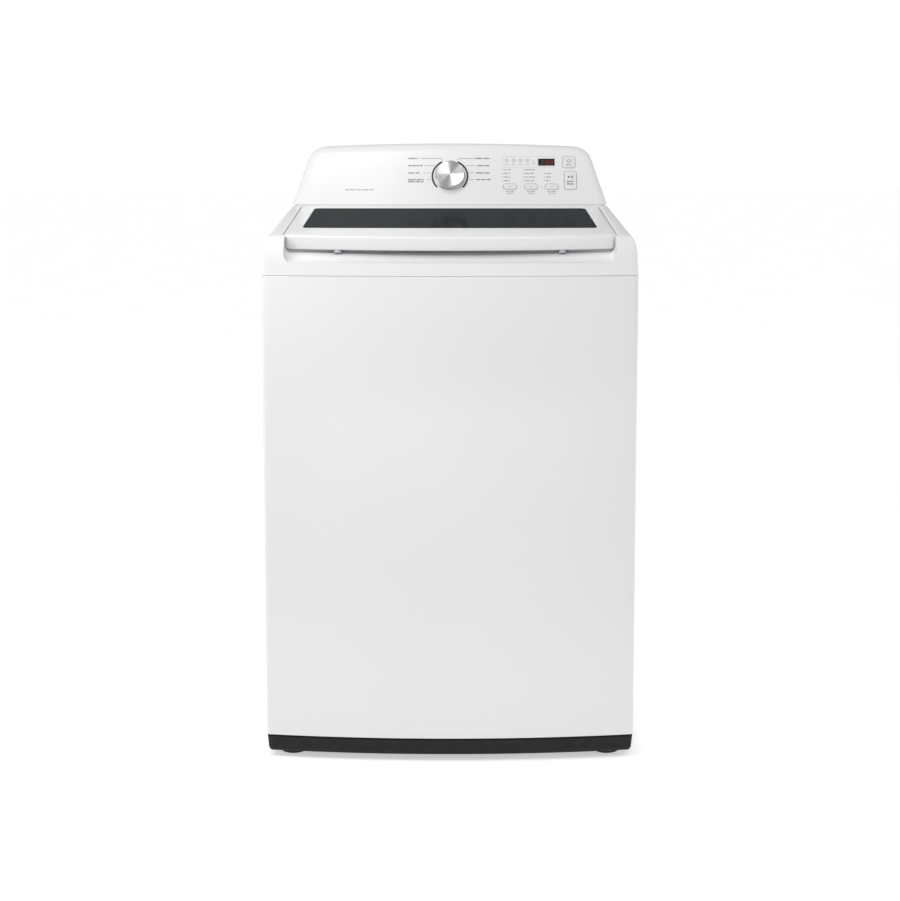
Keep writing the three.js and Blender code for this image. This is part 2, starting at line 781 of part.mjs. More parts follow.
function drainElbow() {
  const { x, z } = DRAIN;
  const riser = solid(upright(14, 812.5, z + 12, x, 303, 20));
  const spigot = solid(alongY(14, 296, REAR_MOST, x, z));
  const collar = solid(alongY(18, 330, 342, x, z));
  const bore = solid(alongY(11, 303, REAR_MOST + 5, x, z));
  const up = solid(upright(11, 800, z, x, 303, 20));
  return piece("drain_elbow", cut(join(riser, spigot, collar), bore, up), blackPlastic());
}

function cordGland() {
  const profile = [[5, -12], [9, -12], [9, 3.5], [15, 3.5], [15, 8], [11, 14], [5, 14]];
  const gland = piece("cord_gland", turned(profile, 20), blackPlastic());
  gland.rotation.x = -Math.PI / 2;
  gland.position.set(GLAND.x, REAR - 3, GLAND.z);
  return gland;
}

// ---------------------------------------------------------------- tub, basket and drive

function rodPlaces() {
  return [
    { name: "front_left", x: -ROD_SPREAD, y: TUB_Y - ROD_SPREAD },
    { name: "front_right", x: ROD_SPREAD, y: TUB_Y - ROD_SPREAD },
    { name: "rear_left", x: -ROD_SPREAD, y: TUB_Y + ROD_SPREAD },
    { name: "rear_right", x: ROD_SPREAD, y: TUB_Y + ROD_SPREAD },
  ];
}

// Rod hung from a corner gusset by its head, with the spring's cup at the lower end.
function suspensionRod({ name, x, y }) {
  const profile = [
    [0, 214],
    [8, 214],
    [18, 222],
    [18, 226],
    [ROD_RADIUS, 226],
    [ROD_RADIUS, 896.4],
    [11, 896.4],
    [11, 899],
    [6, 904],
    [0, 904],
  ];
  const rod = piece(`suspension_rod_${name}`, turned(profile, 12), steel());
  rod.position.set(x, y, 0);
  return rod;
}

function suspensionSpring({ name, x, y }) {
  const sleeve = tube(ROD_RADIUS + 3, 15, 226.3, LUG_BOTTOM - GAP, 16);
  const spring = piece(`suspension_spring_${name}`, sleeve, steel());
  spring.position.set(x, y, 0);
  return spring;
}

// Plastic tub with a sump spigot and four lugs that sit on the suspension springs.
function outerTub() {
  const outer = TUB_INNER + WALL;
  const can = solid(
    turned([
      [42, TUB_FLOOR],
      [outer - 20, TUB_FLOOR],
      [outer, TUB_FLOOR + 20],
      [outer, TUB_TOP],
      [TUB_INNER, TUB_TOP],
      [TUB_INNER, TUB_FLOOR + 23],
      [TUB_INNER - 18, TUB_FLOOR + 5],
      [42, TUB_FLOOR + 5],
    ]),
  );
  const arm = box([TUB_INNER + 1, ROD_SPREAD * Math.SQRT2 + 20], [-19, 19], [LUG_BOTTOM, LUG_BOTTOM + 14]);
  const lugs = rodPlaces().map(({ x, y }) =>
    solid(arm.clone().rotateZ(Math.atan2(y - TUB_Y, x))),
  );
  const rodHoles = rodPlaces().map(({ x, y }) =>
    solid(upright(ROD_RADIUS + 2.5, 290, 330, x, y - TUB_Y, 12)),
  );
  const sumpY = SUMP.y - TUB_Y;
  const spigot = solid(upright(19.5, 190, TUB_FLOOR + 2, SUMP.x, sumpY));
  const drain = solid(upright(16, 180, TUB_FLOOR + 10, SUMP.x, sumpY));
  return piece("outer_tub", cut(join(can, spigot, ...lugs), drain, ...rodHoles), tubPlastic());
}

function tubCover() {
  const outer = TUB_INNER + WALL + 3;
  const profile = [
    [232, 862],
    [262, 874],
    [outer - 3, 868],
    [outer - 3, TUB_TOP - 8],
    [outer, TUB_TOP - 8],
    [outer, 871],
    [262, 880],
    [232, 868],
  ];
  return piece("tub_cover", turned(profile), tubPlastic());
}

function sumpBellows() {
  const bellows = piece("sump_bellows", tube(20, 26, 148, 206, 24), rubber());
  bellows.position.set(SUMP.x, SUMP.y - TUB_Y, 0);
  return bellows;
}

// Cast housing under the tub: a sleeve with two bearing seats, a flange and the stator's pedestal.
function bearingHousing() {
  const seat = BEARING_RADIUS + GAP;
  const profile = [
    [seat, 166],
    [40, 166],
    [40, 196],
    [55, 196],
    [55, 150],
    [75, 150],
    [75, 196],
    [168, 206],
    [168, 212],
    [40, 212],
    [40, 228],
    [seat, 228],
    [seat, 204],
    [27, 204],
    [27, 183],
    [seat, 183],
  ];
  return piece("bearing_housing", turned(profile, 28), castAluminium());
}

const bearing = (name, low, high) =>
  piece(name, tube(SPIN_SHAFT_RADIUS + GAP, BEARING_RADIUS, low, high, 28), steel());

function motorStator() {
  return piece("motor_stator", tube(62, 130, 108, 149.7, 28), copper());
}

// Cup of magnets that turns round the stator, with its hub on the drive shaft.
function motorRotor() {
  const bore = DRIVE_SHAFT_RADIUS + GAP;
  const profile = [
    [bore, 96],
    [24, 94],
    [134, 92],
    [141, 98],
    [141, 148],
    [134, 148],
    [134, 100],
    [24, 101],
    [24, 145.5],
    [bore, 145.5],
  ];
  return piece("motor_rotor", turned(profile, 28), galvanised());
}

const driveShaft = () =>
  piece("drive_shaft", upright(DRIVE_SHAFT_RADIUS, 86, 284, 0, 0, 24), steel());

const spinShaft = () =>
  piece("spin_shaft", tube(DRIVE_SHAFT_RADIUS + 1, SPIN_SHAFT_RADIUS, 148, 254, 28), steel());

function clutchCoupling() {
  const low = 152;
  const profile = [
    [SPIN_SHAFT_RADIUS + 0.5, low],
    [25, low],
    [25, low + 5],
    [21, low + 5],
    [21, low + 12],
    [SPIN_SHAFT_RADIUS + 0.5, low + 12],
  ];
  return piece("clutch_coupling", turned(profile, 24), greyPlastic());
}

function basketShell() {
  const wall = tube(BASKET_RADIUS - 1.3, BASKET_RADIUS, BASKET_BOTTOM + 2, BASKET_TOP);
  return piece("basket_shell", wall, stainless());
}

// Dished bottom of the basket with the hub that clamps on the spin shaft.
function basketBase() {
  const rim = BASKET_RADIUS - 1.6;
  const bore = SPIN_SHAFT_RADIUS + GAP;
  const profile = [
    [bore, 236],
    [36, 236],
    [50, BASKET_BOTTOM],
    [rim, BASKET_BOTTOM],
    [rim, 276],
    [rim - 3, 276],
    [rim - 14, 262],
    [bore, 262],
  ];
  return piece("basket_base", turned(profile), tubPlastic());
}

function balanceRing() {
  const profile = [
    [RING_INNER + 14, BASKET_TOP + GAP],
    [BASKET_RADIUS, BASKET_TOP + GAP],
    [BASKET_RADIUS, 840],
    [BASKET_RADIUS - 8, 848],
    [RING_INNER + 8, 848],
    [RING_INNER, 840],
    [RING_INNER, 812],
  ];
  return piece("balance_ring", turned(profile), greyPlastic());
}

// Low dished disc with four vanes and a cap over the drive shaft.
function impeller() {
  const radius = 172;
  const dish = solid(
    turned([
      [0, 306],
      [26, 303],
      [38, 284],
      [120, 276],
      [radius - 6, 288],
      [radius, 286],
      [radius, 276],
      [120, 264],
      [20, 264],
      [DRIVE_SHAFT_RADIUS + GAP, 264],
      [DRIVE_SHAFT_RADIUS + GAP, 288],
      [0, 288],
    ]),
  );
  const vane = box([30, radius - 10], [-9, 9], [270, 300]);
  const vanes = [0, 1, 2, 3].map((quarter) =>
    solid(vane.clone().rotateZ(Math.PI / 4 + (quarter * Math.PI) / 2)),
  );
  return piece("impeller", join(dish, ...vanes), greyPlastic());
}

function tubGroup() {
  const group = new THREE.Group();
  group.position.y = TUB_Y;
  group.add(
    outerTub(),
    tubCover(),
    sumpBellows(),
    bearingHousing(),
    bearing("bearing_upper", 204.5, 219),
    bearing("bearing_lower", 168, 182.5),
    motorStator(),
    motorRotor(),
    driveShaft(),
    spinShaft(),
    clutchCoupling(),
    basketShell(),
    basketBase(),
    balanceRing(),
    impeller(),
  );
  return group;
}

// ---------------------------------------------------------------- assembly

const washer = new THREE.Group();
washer.add(cabinetWrap(), rearPanel(), baseFrame(), topCover());
legPlaces().forEach((place) => washer.add(levelingLeg(place)));
washer.add(lidFrame(), lidGlass(), lidInnerFrame(), lidStrike(), lidLockHousing(), lockBolt());
washer.add(hingePin("hinge_pin_left", -1), hingePin("hinge_pin_right", 1));
washer.add(consoleHousing(), consoleRearCover(), faceGroup());
washer.add(inletValve(), fillHose(), fillNozzle(), cordGland());
washer.add(drainPump(), drainHose(), drainElbow());
rodPlaces().forEach((place) => washer.add(suspensionRod(place), suspensionSpring(place)));
washer.add(tubGroup());

export default washer;
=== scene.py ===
"""The looks of a top load washing machine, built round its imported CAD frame.

Lengths are millimetres in the code and metres in the meshes. X runs across, the front faces -Y, Z is up.
"""
import json
import math
import bmesh
import bpy
import numpy as np
from mathutils import Matrix, Vector


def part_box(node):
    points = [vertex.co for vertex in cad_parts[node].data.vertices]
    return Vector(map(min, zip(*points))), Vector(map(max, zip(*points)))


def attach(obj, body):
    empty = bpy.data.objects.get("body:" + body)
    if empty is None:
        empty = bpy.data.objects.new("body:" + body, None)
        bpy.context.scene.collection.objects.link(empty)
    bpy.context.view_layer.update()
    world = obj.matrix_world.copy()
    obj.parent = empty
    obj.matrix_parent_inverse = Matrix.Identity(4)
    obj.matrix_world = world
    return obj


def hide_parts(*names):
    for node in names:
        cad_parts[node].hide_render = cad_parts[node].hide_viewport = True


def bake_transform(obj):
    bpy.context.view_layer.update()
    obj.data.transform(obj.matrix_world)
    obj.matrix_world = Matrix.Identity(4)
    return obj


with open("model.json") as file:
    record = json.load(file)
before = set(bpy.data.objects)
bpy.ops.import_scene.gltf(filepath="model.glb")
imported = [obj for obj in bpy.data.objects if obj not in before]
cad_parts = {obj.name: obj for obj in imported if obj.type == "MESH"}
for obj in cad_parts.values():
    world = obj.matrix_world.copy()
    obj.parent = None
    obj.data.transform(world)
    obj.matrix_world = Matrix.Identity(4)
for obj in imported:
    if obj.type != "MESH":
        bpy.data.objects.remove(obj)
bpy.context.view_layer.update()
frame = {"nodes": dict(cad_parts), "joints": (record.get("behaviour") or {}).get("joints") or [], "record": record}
MM = 0.001


def span(node):
    """Lowest and highest corner of a CAD node, in millimetres."""
    low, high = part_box(node)
    return np.array(low) / MM, np.array(high) / MM


def middle(node):
    low, high = span(node)
    return (low + high) / 2


# ---------------------------------------------------------------- sizes taken from the frame

WRAP_LOW, WRAP_HIGH = span("cabinet_wrap")
BOW = 28  # how far the middle of the front stands proud of its two edges
SHEET = 1.2  # the cabinet's steel
GAP = 0.3  # between pieces that meet
HALF_WIDTH = WRAP_HIGH[0]
FRONT = WRAP_LOW[1] + BOW
REAR = span("rear_panel")[1][1]
WRAP_BOTTOM = WRAP_LOW[2]
SEAM = span("top_cover")[0][2]
BASE_LOW = span("base_frame")[0][2]
CABINET = dict(half=HALF_WIDTH, front=FRONT, rear=REAR, bow=BOW, front_radius=10, rear_radius=6)

LID_LOW, LID_HIGH = span("lid_frame")
LID_BOW = 27
LID = dict(half=LID_HIGH[0], front=LID_LOW[1] + LID_BOW, rear=LID_HIGH[1], bow=LID_BOW,
           front_radius=14, rear_radius=18)
GLASS_LOW, GLASS_HIGH = span("lid_glass")
GLASS_BOW = 4
GLASS = dict(half=GLASS_HIGH[0], front=GLASS_LOW[1] + GLASS_BOW, rear=GLASS_HIGH[1], bow=GLASS_BOW,
             front_radius=12, rear_radius=12)
GLASS_THICK = 4
LID_DEPTH = 25.5
RECESS_DEPTH = 32.3
SKIN = 3  # thickness of the plastic mouldings
OPENING_WIDTH, OPENING_DEPTH, OPENING_CORNER, OPENING_Y = 470, 415, 90, -77.5
COVER_FRONT_TOP = 973.5
COVER_SLOPE = 0.0645

CONSOLE_LOW, CONSOLE_HIGH = span("console_housing")
CONSOLE_FOOT = CONSOLE_LOW[1]
CONSOLE_BASE = CONSOLE_LOW[2]
CONSOLE_TOP = CONSOLE_HIGH[2]
CONSOLE_HALF = CONSOLE_HIGH[0]
CONSOLE_DRAFT = 0.3265
CONSOLE_CROWN = 6
CROWN_HALF = 262
CONSOLE_CORNER = 37
CONSOLE_EDGE = 18
JOINTS = {joint["name"]: joint for joint in frame["joints"]}
KNOB_AXIS = Vector(JOINTS["cycle_knob_turn"]["axis"]).normalized()
FACE_LEAN = math.asin(KNOB_AXIS.z)
TUB_Y = JOINTS["basket_spin"]["pos_m"][1] / MM
HINGE_Y, HINGE_Z = middle("hinge_pin_left")[1:]
HINGE_END = span("hinge_pin_right")[1][0]
LEGS = [f"leveling_leg_{end}_{side}" for end in ("front", "rear") for side in ("left", "right")]
INLETS = {"hot": -150, "cold": -100}
INLET_HEIGHT = 860


# ---------------------------------------------------------------- camera

def add_camera():
    """The photograph's view: from the front, a little above the top, through a long lens."""
    distance, height = 4.0, 1.192
    pitch = math.radians(7.307)
    data = bpy.data.cameras.new("camera")
    data.lens = 80.6
    data.shift_y = -0.085
    camera = bpy.data.objects.new("camera", data)
    bpy.context.scene.collection.objects.link(camera)
    camera.location = (0, -distance, height)
    camera.rotation_euler = (math.pi / 2 - pitch, 0, 0)
    bpy.context.scene.camera = camera


# ---------------------------------------------------------------- shapes

def arc(x, y, radius, start, end, steps):
    angles = np.linspace(start, end, steps + 1)
    return [(x + radius * math.cos(a), y + radius * math.sin(a)) for a in angles]


def outline(half, front, rear, bow, front_radius, rear_radius, stops=(), bow_steps=18, corner_steps=8):
    """Plan outline with a bowed front; it starts at the middle of the front and goes round by the right."""
    bow_radius = (half ** 2 + bow ** 2) / (2 * bow)
    bow_centre = front - bow + bow_radius
    corner_x = half - front_radius
    corner_y = bow_centre - math.sqrt((bow_radius - front_radius) ** 2 - corner_x ** 2)
    meeting = math.atan2(corner_y - bow_centre, corner_x)
    right = arc(0, bow_centre, bow_radius, -math.pi / 2, meeting, bow_steps)[1:]
    right += arc(corner_x, corner_y, front_radius, meeting, 0, corner_steps)[1:]
    right += [(half, y) for y in stops]
    right += arc(half - rear_radius, rear - rear_radius, rear_radius, 0, math.pi / 2, corner_steps)
    left = [(-x, y) for x, y in reversed(right)]
    return np.array([(0, front - bow), *right, (0, rear), *left])


def inset(plan, side, front=None, rear=None):
    """The same outline, moved inwards all round."""
    front = side if front is None else front
    rear = side if rear is None else rear
    radii = {corner: max(plan[corner] - side, 2) for corner in ("front_radius", "rear_radius")}
    return dict(plan, half=plan["half"] - side, front=plan["front"] + front, rear=plan["rear"] - rear,
                **radii)


def with_stops(plan):
    """The outline with extra points along its sides, at the same shares of every outline's depth."""
    shares = [0.12 + 0.76 * i / 5 for i in range(6)]
    return dict(plan, stops=[plan["front"] + (plan["rear"] - plan["front"]) * s for s in shares])


def ring(plan, height):
    points = outline(**plan)
    z = [height(y) if callable(height) else height for y in points[:, 1]]
    return np.column_stack([points, z])


def ladder(first, count):
    """Quads across a mirrored ring, so that a cap may slope or bend along its length."""
    for i in range(count // 2):
        left, next_left = first + (count - i) % count, first + count - i - 1
        quad = (first + i, first + i + 1, next_left, left)
        yield tuple(dict.fromkeys(quad))


def loft(rings, is_frame=False):
    """Skin over a stack of rings: capped at both ends, or joined end to end into a frame."""
    count = len(rings[0])
    faces = []
    for band in range(len(rings) if is_frame else len(rings) - 1):
        low, high = band * count, (band + 1) % len(rings) * count
        for i in range(count):
            j = (i + 1) % count
            faces.append((low + i, low + j, high + j, high + i))
    if not is_frame:
        faces += list(ladder(0, count)) + list(ladder((len(rings) - 1) * count, count))
    return np.concatenate(rings), faces


def skinned(sections):
    """Skin along a list of closed sections, capped at both ends."""
    count = len(sections[0])
    last = (len(sections) - 1) * count
    faces = [(low + i, low + (i + 1) % count, low + count + (i + 1) % count, low + count + i)
             for low in range(0, last, count) for i in range(count)]
    faces += [tuple(range(count)), tuple(range(last + count - 1, last - 1, -1))]
    return np.concatenate(sections), faces


def turned(profile, steps=96, centre=(0, 0)):
    """A closed profile of (radius, height) pairs turned about Z; points on the axis become one vertex."""
    points, faces, columns = [], [], []
    for step in range(steps):
        angle = 2 * math.pi * step / steps
        across, along = math.cos(angle), math.sin(angle)
        column = []
        for k, (radius, height) in enumerate(profile):
            if radius == 0 and step:
                column.append(columns[0][k])
                continue
            column.append(len(points))
            points.append((centre[0] + radius * across, centre[1] + radius * along, height))
        columns.append(column)
    for step, column in enumerate(columns):
        after = columns[(step + 1) % steps]
        for k in range(len(profile)):
            n = (k + 1) % len(profile)
            face = tuple(dict.fromkeys((column[k], column[n], after[n], after[k])))
            if len(face) > 2:
                faces.append(face)
    return np.array(points), faces


def prism(points, low, high):
    """A flat outline pushed from one height to another."""
    points = np.array(points)
    return skinned([np.column_stack([points, np.full(len(points), z)]) for z in (low, high)])


def rounded(width, height, radius, steps=6, x=0, y=0):
    """Rounded rectangle about a centre."""
    radius = min(radius, width / 2 - 0.01, height / 2 - 0.01)
    across, along = width / 2 - radius, height / 2 - radius
    corners = [(across, -along, -90), (across, along, 0), (-across, along, 90), (-across, -along, 180)]
    points = []
    for cx, cy, start in corners:
        angle = math.radians(start)
        points += arc(x + cx, y + cy, radius, angle, angle + math.pi / 2, steps)
    return points


def block(low, high):
    """A box between two corners."""
    plan = [(low[0], low[1]), (high[0], low[1]), (high[0], high[1]), (low[0], high[1])]
    return prism(plan, low[2], high[2])


def rod(start, end, radius, steps=24):
    """A cylinder between two points."""
    start, end = Vector(start), Vector(end)
    points, faces = prism(arc(0, 0, radius, 0, 2 * math.pi, steps)[:-1], 0, (end - start).length)
    turn = (end - start).to_track_quat("Z", "Y").to_matrix()
    return np.array([turn @ Vector(p) + start for p in points]), faces


def swept(path, radius, steps=12, closed_path=False):
    """A round tube along a list of points."""
    path = [Vector(p) for p in path]
    count = len(path)
    sections = []
    side = None
    for i, place in enumerate(path):
        ahead = path[(i + 1) % count] if closed_path or i < count - 1 else place
        behind = path[i - 1] if closed_path or i else place
        along = (ahead - behind).normalized()
        if side is None:
            side = along.orthogonal().normalized()
        side = (side - along * side.dot(along)).normalized()
        other = along.cross(side)
        turns = [2 * math.pi * k / steps for k in range(steps)]
        sections.append(np.array([place + radius * (math.cos(turn) * side + math.sin(turn) * other)
                                  for turn in turns]))
    return loft(sections, True) if closed_path else skinned(sections)


def merged(*shapes):
    """Several shapes as one list of points and faces."""
    points, faces = [], []
    for shape_points, shape_faces in shapes:
        offset = sum(len(p) for p in points)
        points.append(np.array(shape_points))
        faces += [tuple(offset + i for i in face) for face in shape_faces]
    return np.concatenate(points), faces


def moved(shape, by):
    return np.array(shape[0]) + np.array(by), shape[1]


def hinge_bore(half, radius):
    """A cutting rod along the lid's hinge axis."""
    return rod((-half, HINGE_Y, HINGE_Z), (half, HINGE_Y, HINGE_Z), radius)


# ---------------------------------------------------------------- the console face's own frame

FACE_TURN = Matrix.Rotation(math.pi / 2 - FACE_LEAN, 3, "X")
FACE_PLACE = Vector((0, CONSOLE_FOOT, CONSOLE_BASE))


def on_face(shape):
    """From the face's frame (x across, y up along the face, z out of it) to the object's."""
    turn = np.array(FACE_TURN)
    return np.array(shape[0]) @ turn.T + np.array(FACE_PLACE), shape[1]


def face_span(node):
    """A CAD node's lowest and highest corner in the face's frame."""
    places = np.array([v.co for v in frame["nodes"][node].data.vertices]) / MM
    local = (places - np.array(FACE_PLACE)) @ np.array(FACE_TURN)
    return local.min(0), local.max(0)


def face_panel(node):
    """Middle and size of a CAD node, across and up the face."""
    low, high = face_span(node)
    return (*((low + high) / 2)[:2], *(high - low)[:2])


def face_level(node):
    """How far a CAD node's outer side stands out of the face."""
    return face_span(node)[1][2]


# ---------------------------------------------------------------- pieces

def raw_object(name, shape):
    points, faces = shape
    mesh = bpy.data.meshes.new(name)
    mesh.from_pydata((np.array(points) * MM).tolist(), [], [list(f) for f in faces])
    mesh.validate()
    tidy = bmesh.new()
    tidy.from_mesh(mesh)
    bmesh.ops.remove_doubles(tidy, verts=tidy.verts, dist=1e-7)
    bmesh.ops.recalc_face_normals(tidy, faces=tidy.faces)
    tidy.to_mesh(mesh)
    tidy.free()
    obj = bpy.data.objects.new(name, mesh)
    bpy.context.scene.collection.objects.link(obj)
    return obj


def settle(obj):
    """Applies the object's modifiers to its mesh."""
    graph = bpy.context.evaluated_depsgraph_get()
    done = bpy.data.meshes.new_from_object(obj.evaluated_get(graph))
    obj.modifiers.clear()
    obj.data = done
    done.name = obj.name


def carve(obj, *tools):
    """Cuts shapes out of an object; the cutting shapes don't stay."""
    helpers = [raw_object(f"tool_{i}", tool) if isinstance(tool, tuple) else tool
               for i, tool in enumerate(tools)]
    for helper in helpers:
        step = obj.modifiers.new("cut", "BOOLEAN")
        step.operation, step.solver, step.object = "DIFFERENCE", "MANIFOLD", helper
    settle(obj)
    for helper in helpers:
        bpy.data.objects.remove(helper)
    return obj


def bevel(obj, width, segments=3):
    step = obj.modifiers.new("edges", "BEVEL")
    step.width, step.segments = width * MM, segments
    step.limit_method, step.angle_limit = "ANGLE", math.radians(32)
    step.use_clamp_overlap = True
    settle(obj)
    return obj


def finish_piece(obj, body, look, replaces=(), sharp=38):
    """Smooth shading, material and body of a piece; the look picks its material."""
    obj.data.materials.clear()
    obj.data.materials.append(M[look])
    obj.data.shade_smooth()
    obj.data.set_sharp_from_angle(angle=math.radians(sharp))
    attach(obj, body)
    if replaces:
        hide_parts(*([replaces] if isinstance(replaces, str) else replaces))
    return obj


def add(name, shape, body, look, replaces=(), edge=0, sharp=38):
    obj = raw_object(name, shape)
    if edge:
        bevel(obj, edge)
    return finish_piece(obj, body, look, replaces, sharp)


# ---------------------------------------------------------------- materials

class Nodes:
    """A short way to write a material's nodes."""

    def __init__(self, name):
        self.material = bpy.data.materials.new(name)
        self.material.use_nodes = True
        self.tree = self.material.node_tree
        self.shader = self.tree.nodes["Principled BSDF"]
        self.coordinates = self.new("ShaderNodeTexCoord").outputs["Object"]

    def new(self, kind, **inputs):
        node = self.tree.nodes.new(kind)
        for key, value in inputs.items():
            self.put(node.inputs[key.replace("_", " ")], value)
        return node

    def put(self, socket, value):
        if isinstance(value, bpy.types.NodeSocket):
            self.tree.links.new(value, socket)
        else:
            socket.default_value = value

    def set(self, **inputs):
        for key, value in inputs.items():
            self.put(self.shader.inputs[key.replace("_", " ")], value)

    def stretched(self, scale):
        return self.new("ShaderNodeMapping", Vector=self.coordinates, Scale=scale).outputs["Vector"]

    def noise(self, scale, detail=3.0, vector=None, roughness=0.5):
        node = self.new("ShaderNodeTexNoise", Vector=vector or self.coordinates, Scale=scale, Detail=detail,
                        Roughness=roughness)
        return node.outputs["Fac"]

    def spread(self, value, low, high, start=0.3, end=0.7):
        """A value moved from one range to another."""
        node = self.new("ShaderNodeMapRange", Value=value)
        for key, number in zip(("From Min", "From Max", "To Min", "To Max"), (start, end, low, high)):
            node.inputs[key].default_value = number
        return node.outputs["Result"]

    def ramp(self, value, *stops):
        """A colour for each place between 0 and 1."""
        node = self.new("ShaderNodeValToRGB", Fac=value)
        elements = node.color_ramp.elements
        while len(elements) < len(stops):
            elements.new(0.5)
        for element, (place, colour) in zip(elements, stops):
            element.position, element.color = place, (*colour, 1)
        return node.outputs["Color"]

    def calculate(self, operation, *values):
        node = self.tree.nodes.new("ShaderNodeMath")
        node.operation = operation
        for socket, value in zip(node.inputs, values):
            self.put(socket, value)
        return node.outputs[0]

    def bump(self, height, strength, distance):
        node = self.new("ShaderNodeBump", Height=height, Strength=strength, Distance=distance * MM)
        return node.outputs["Normal"]


def tint(colour, factor):
    return tuple(min(1, c * factor) for c in colour)


def enamel(name, colour, roughness, coat, vary, peel):
    """Baked enamel or glossy moulded plastic: a faint orange peel and slow changes of tone."""
    made = Nodes(name)
    slow = made.noise(3.2, 2)
    made.set(Base_Color=made.ramp(slow, (0.3, tint(colour, vary)), (0.7, colour)),
             Roughness=made.spread(made.noise(9, 2), roughness * 0.96, roughness * 1.05),
             Normal=made.bump(made.noise(240, 1), peel, 0.05),
             Coat_Weight=coat, Coat_Roughness=0.1)
    return made.material


def moulded(name, colour, roughness, grain=900, strength=0.25, vary=0.9, specular=0.5, metallic=0.0):
    """Moulded plastic with a fine spark-eroded grain, or a casting with its sand grain."""
    made = Nodes(name)
    made.set(Specular_IOR_Level=specular, Metallic=metallic)
    made.set(Base_Color=made.ramp(made.noise(14, 4), (0.3, tint(colour, vary)), (0.7, colour)),
             Roughness=made.spread(made.noise(60, 4), roughness * 0.85, roughness * 1.15),
             Normal=made.bump(made.noise(grain, 2), strength, 0.08))
    return made.material


def brushed(name, colour, scale, roughness, vary, anisotropic, strength=0.12):
    """Metal brushed along the axis with the smallest scale."""
    made = Nodes(name)
    lines = made.noise(1.0, 6, made.stretched(scale), 0.65)
    made.set(Base_Color=made.ramp(lines, (0.3, tint(colour, vary)), (0.7, colour)), Metallic=1.0,
             Roughness=made.spread(lines, roughness * 0.8, roughness * 1.3), Anisotropic=anisotropic,
             Normal=made.bump(lines, strength, 0.03))
    return made.material


def spangled(name, colour):
    """Galvanised sheet with its zinc crystals."""
    made = Nodes(name)
    cells = made.new("ShaderNodeTexVoronoi", Vector=made.coordinates, Scale=110).outputs["Color"]
    tone = made.new("ShaderNodeSeparateColor", Color=cells).outputs["Red"]
    made.set(Base_Color=made.ramp(tone, (0.0, tint(colour, 0.88)), (1.0, tint(colour, 1.05))), Metallic=0.5,
             Roughness=made.spread(tone, 0.304, 0.475, 0, 1),
             Normal=made.bump(made.noise(160, 4), 0.08, 0.05))
    return made.material


def turned_metal(name, colour):
    """Metal brushed in circles about the piece's own Z axis."""
    made = Nodes(name)
    apart = made.new("ShaderNodeSeparateXYZ", Vector=made.coordinates)
    x, y = apart.outputs["X"], apart.outputs["Y"]
    total = made.calculate("ADD", made.calculate("MULTIPLY", x, x), made.calculate("MULTIPLY", y, y))
    line = made.new("ShaderNodeCombineXYZ", X=made.calculate("SQRT", total))
    rings = made.noise(2600, 5, line.outputs[0], 0.7)
    tangent = made.new("ShaderNodeTangent")
    tangent.direction_type, tangent.axis = "RADIAL", "Z"
    made.set(Base_Color=made.ramp(rings, (0.3, tint(colour, 0.86)), (0.7, colour)), Metallic=1.0,
             Roughness=made.spread(rings, 0.26, 0.34), Anisotropic=0.95, Anisotropic_Rotation=0.25,
             Tangent=tangent.outputs[0],
             Normal=made.bump(rings, 0.06, 0.02))
    return made.material


def rubber_finish(name, colour):
    made = Nodes(name)
    made.set(Base_Color=made.ramp(made.noise(40, 5), (0.3, tint(colour, 0.8)), (0.7, colour)),
             Roughness=made.spread(made.noise(90, 3), 0.7, 0.88),
             Normal=made.bump(made.noise(700, 2), 0.3, 0.06))
    return made.material


def tinted_glass(name):
    """Tempered glass with a smoke tint."""
    made = Nodes(name)
    streak = made.noise(2.5, 2)
    made.set(Base_Color=made.ramp(streak, (0.3, (0.013, 0.0165, 0.019)), (0.7, (0.015, 0.019, 0.022))),
             Roughness=made.spread(made.noise(35, 3), 0.05, 0.08), Specular_IOR_Level=0.0, Coat_Weight=0.08,
             Coat_Roughness=0.12, Alpha=0.93)
    return made.material


def ink(name, colour, roughness=0.5):
    """Screen-printed ink, a little uneven."""
    made = Nodes(name)
    made.set(Base_Color=made.ramp(made.noise(400, 3), (0.3, tint(colour, 0.88)), (0.7, colour)),
             Roughness=made.spread(made.noise(500, 2), roughness * 0.9, roughness * 1.1))
    return made.material


def glowing(name, colour, strength):
    """A lit segment of the display."""
    made = Nodes(name)
    core = made.ramp(made.noise(600, 2), (0.3, tint(colour, 0.8)), (0.7, colour))
    made.set(Base_Color=core, Roughness=0.4, Emission_Color=core, Emission_Strength=strength)
    return made.material


def windings(name):
    made = Nodes(name)
    wires = made.noise(1.0, 3, made.stretched((30, 30, 900)), 0.6)
    made.set(Base_Color=made.ramp(wires, (0.35, (0.28, 0.11, 0.05)), (0.65, (0.62, 0.3, 0.16))), Metallic=0.7,
             Roughness=made.spread(wires, 0.3, 0.5), Normal=made.bump(wires, 0.5, 0.3))
    return made.material


